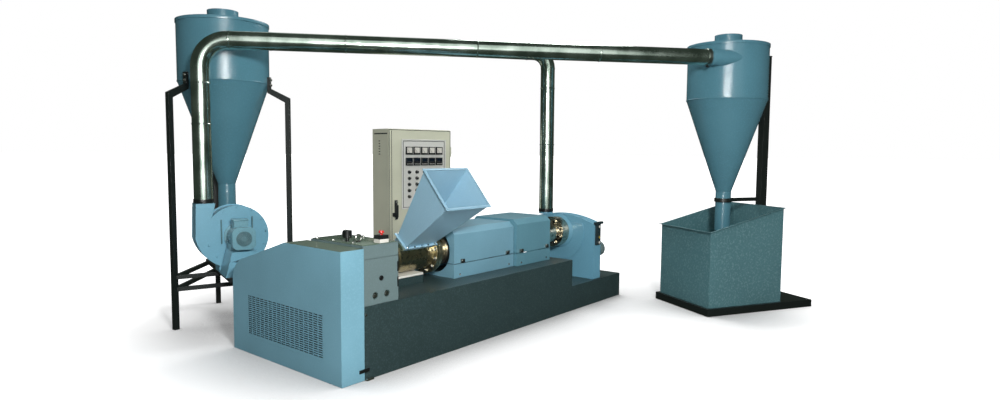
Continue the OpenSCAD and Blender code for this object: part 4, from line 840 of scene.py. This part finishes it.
floor_size = 400.0
floor_tone_seen = 1.25
floor_tone_bounce = 0.5
shadow_reach = 2.3
white_from = 4.8
bpy.ops.object.select_all(action="DESELECT")
bpy.ops.mesh.primitive_plane_add(size=floor_size, location=(0.0, 0.0, -0.001))
floor = bpy.context.object
floor.name = "floor"
floor_sheet = bpy.data.materials.new("floor_sheet")
floor_sheet.use_nodes = True
nodes = floor_sheet.node_tree.nodes
links = floor_sheet.node_tree.links
nodes.remove(nodes["Principled BSDF"])
path = nodes.new("ShaderNodeLightPath")
seen = math_of(floor_sheet, "MAXIMUM", path.outputs["Is Camera Ray"], path.outputs["Is Glossy Ray"])
tone = nodes.new("ShaderNodeMapRange")
tone.inputs["To Min"].default_value = floor_tone_bounce
tone.inputs["To Max"].default_value = floor_tone_seen
links.new(path.outputs["Is Camera Ray"], tone.inputs["Value"])
sheet = nodes.new("ShaderNodeBsdfDiffuse")
# Ambient occlusion darkens the floor close to the line: painted contact shade.
nearby = nodes.new("ShaderNodeAmbientOcclusion")
nearby.samples = 8
nearby.inputs["Distance"].default_value = 0.9
painted_contact_shade = nodes.new("ShaderNodeMath")
painted_contact_shade.operation = "POWER"
painted_contact_shade.inputs[1].default_value = 1.1
links.new(nearby.outputs["AO"], painted_contact_shade.inputs[0])
settled = math_of(floor_sheet, "MULTIPLY", tone.outputs["Result"], painted_contact_shade.outputs["Value"])
links.new(settled, sheet.inputs["Color"])
place = nodes.new("ShaderNodeTexCoord")
reach = nodes.new("ShaderNodeVectorMath")
reach.operation = "LENGTH"
links.new(place.outputs["Object"], reach.inputs[0])
fade = nodes.new("ShaderNodeMapRange")
fade.interpolation_type = "SMOOTHSTEP"
fade.inputs["From Min"].default_value = shadow_reach
fade.inputs["From Max"].default_value = white_from
fade.inputs["To Min"].default_value = 0.06
fade.inputs["To Max"].default_value = 1.0
links.new(reach.outputs["Value"], fade.inputs["Value"])
glow = nodes.new("ShaderNodeEmission")
lift = math_of(floor_sheet, "MULTIPLY", seen, fade.outputs["Result"])
links.new(lift, glow.inputs["Strength"])
both = nodes.new("ShaderNodeAddShader")
links.new(sheet.outputs["BSDF"], both.inputs[0])
links.new(glow.outputs["Emission"], both.inputs[1])
links.new(both.outputs["Shader"], nodes["Material Output"].inputs["Surface"])
floor.data.materials.append(floor_sheet)

# Studio light: a soft surround that is brighter from above, a key lamp beside the camera, a soft box
# overhead and a lamp at eye height that shows only in gloss. A dark drum with a white near side and
# a pale band high on its far side is seen only by the gloss of metal and enamel.
world = bpy.data.worlds.new("studio")
bpy.context.scene.world = world
world.use_nodes = True
nodes = world.node_tree.nodes
links = world.node_tree.links
surround = nodes["Background"]
sky = nodes.new("ShaderNodeTexCoord")
height = nodes.new("ShaderNodeSeparateXYZ")
links.new(sky.outputs["Generated"], height.inputs["Vector"])
climb = nodes.new("ShaderNodeMapRange")
level_light = 0.16
top_light = 0.50
climb.inputs["To Min"].default_value = level_light
climb.inputs["To Max"].default_value = top_light
links.new(height.outputs["Z"], climb.inputs["Value"])
path = nodes.new("ShaderNodeLightPath")
seen = math_of(world, "MAXIMUM", path.outputs["Is Camera Ray"], path.outputs["Is Transmission Ray"])
level = math_of(world, "MAXIMUM", seen, climb.outputs["Result"])
links.new(level, surround.inputs["Strength"])
surround.inputs["Color"].default_value = (1.0, 1.0, 1.0, 1.0)
line_middle = (-0.4, 0.0, 0.9)
lamps = (("key_lamp", (-3.9, -4.9, 3.4), line_middle, (0.9, 0.9), 322.0),
         ("top_box", (2.4, 0.8, 4.7), (-0.6, 0.0, 0.0), (2.0, 2.0), 95.0),
         ("eye_lamp", (-4.6, -4.2, 2.4), line_middle, (0.4, 0.7), 400.0))
for name, at, target, (wide, high), watts in lamps:
    bpy.ops.object.light_add(type="AREA", location=at)
    lamp = bpy.context.object
    lamp.name = name
    lamp.data.shape = "RECTANGLE"
    lamp.data.size = wide
    lamp.data.size_y = high
    lamp.data.energy = watts
    lamp.visible_camera = False
    lamp.visible_glossy = name != "key_lamp"
    lamp.visible_diffuse = name != "eye_lamp"
    lamp.rotation_euler = (Vector(target) - lamp.location).to_track_quat("-Z", "Y").to_euler()
away = level_way(52.0).xy
drum_radius = 11.0
drum_height = 14.0
pale_foot = 6.0
drum_middle = (0.0, 0.0, drum_height / 2 + 0.002)
bpy.ops.object.select_all(action="DESELECT")
bpy.ops.mesh.primitive_cylinder_add(vertices=60, radius=drum_radius, depth=drum_height, location=drum_middle)
drum_card = bpy.context.object
drum_card.name = "drum_card"
bpy.ops.object.transform_apply(location=True, rotation=True, scale=True)
pick_faces(drum_card, lambda centre, normal: True)
bpy.ops.mesh.bisect(plane_co=(0.0, 0.0, pale_foot), plane_no=upward)
bpy.ops.object.mode_set(mode="OBJECT")
card_light = (0.95, 1.0, 0.97, 1.0)
for name, tint, strength in (("card_black", (0.040, 0.052, 0.042, 1.0), 1.0),
                             ("card_white", card_light, 1.0),
                             ("card_pale", card_light, 0.6)):
    card = bpy.data.materials.new(name)
    card.use_nodes = True
    card_shader = card.node_tree.nodes["Principled BSDF"]
    card_shader.inputs["Base Color"].default_value = (0.0, 0.0, 0.0, 1.0)
    card_shader.inputs["Specular IOR Level"].default_value = 0.0
    card_shader.inputs["Emission Color"].default_value = tint
    card_shader.inputs["Emission Strength"].default_value = strength
    drum_card.data.materials.append(card)
near_side = -away
for index, middle, spread, foot in ((1, near_side, 0.889, 0.0), (2, away, 0.829, pale_foot)):
    pick_faces(drum_card, lambda centre, normal:
               centre.xy.normalized().dot(middle) > spread and foot < centre.z < drum_height)
    drum_card.active_material_index = index
    bpy.ops.object.material_slot_assign()
    bpy.ops.object.mode_set(mode="OBJECT")
drum_card.visible_camera = False
drum_card.visible_diffuse = False
drum_card.visible_shadow = False
drum_card.visible_transmission = False

# Camera: stands to the front left of the belt guard at eye height and looks along the line, a little
# downwards, with a wide lens.
azimuth = math.radians(39.25)
pitch = -0.0757
roll = 0.008
forward = Vector((math.cos(azimuth) * math.cos(pitch), math.sin(azimuth) * math.cos(pitch), math.sin(pitch)))
right = forward.cross(Vector((0.0, 0.0, 1.0))).normalized()
up = right.cross(forward)
turn = Matrix((right, up, -forward)).transposed() @ Matrix.Rotation(roll, 3, "Z")
eye = bpy.data.cameras.new("camera")
eye.sensor_width = 36.0
eye.sensor_fit = "HORIZONTAL"
eye.lens = 23.27
eye.clip_end = 500.0
camera_place = (-4.736, -4.077, 1.644)
camera = bpy.data.objects.new("camera", eye)
camera.matrix_world = Matrix.Translation(camera_place) @ turn.to_4x4()
bpy.context.scene.collection.objects.link(camera)
bpy.context.scene.camera = camera
bpy.context.scene.view_settings.view_transform = "Standard"

# Closing: the bolt that all bolts were copied from goes.
bpy.data.objects.remove(hex_bolt)
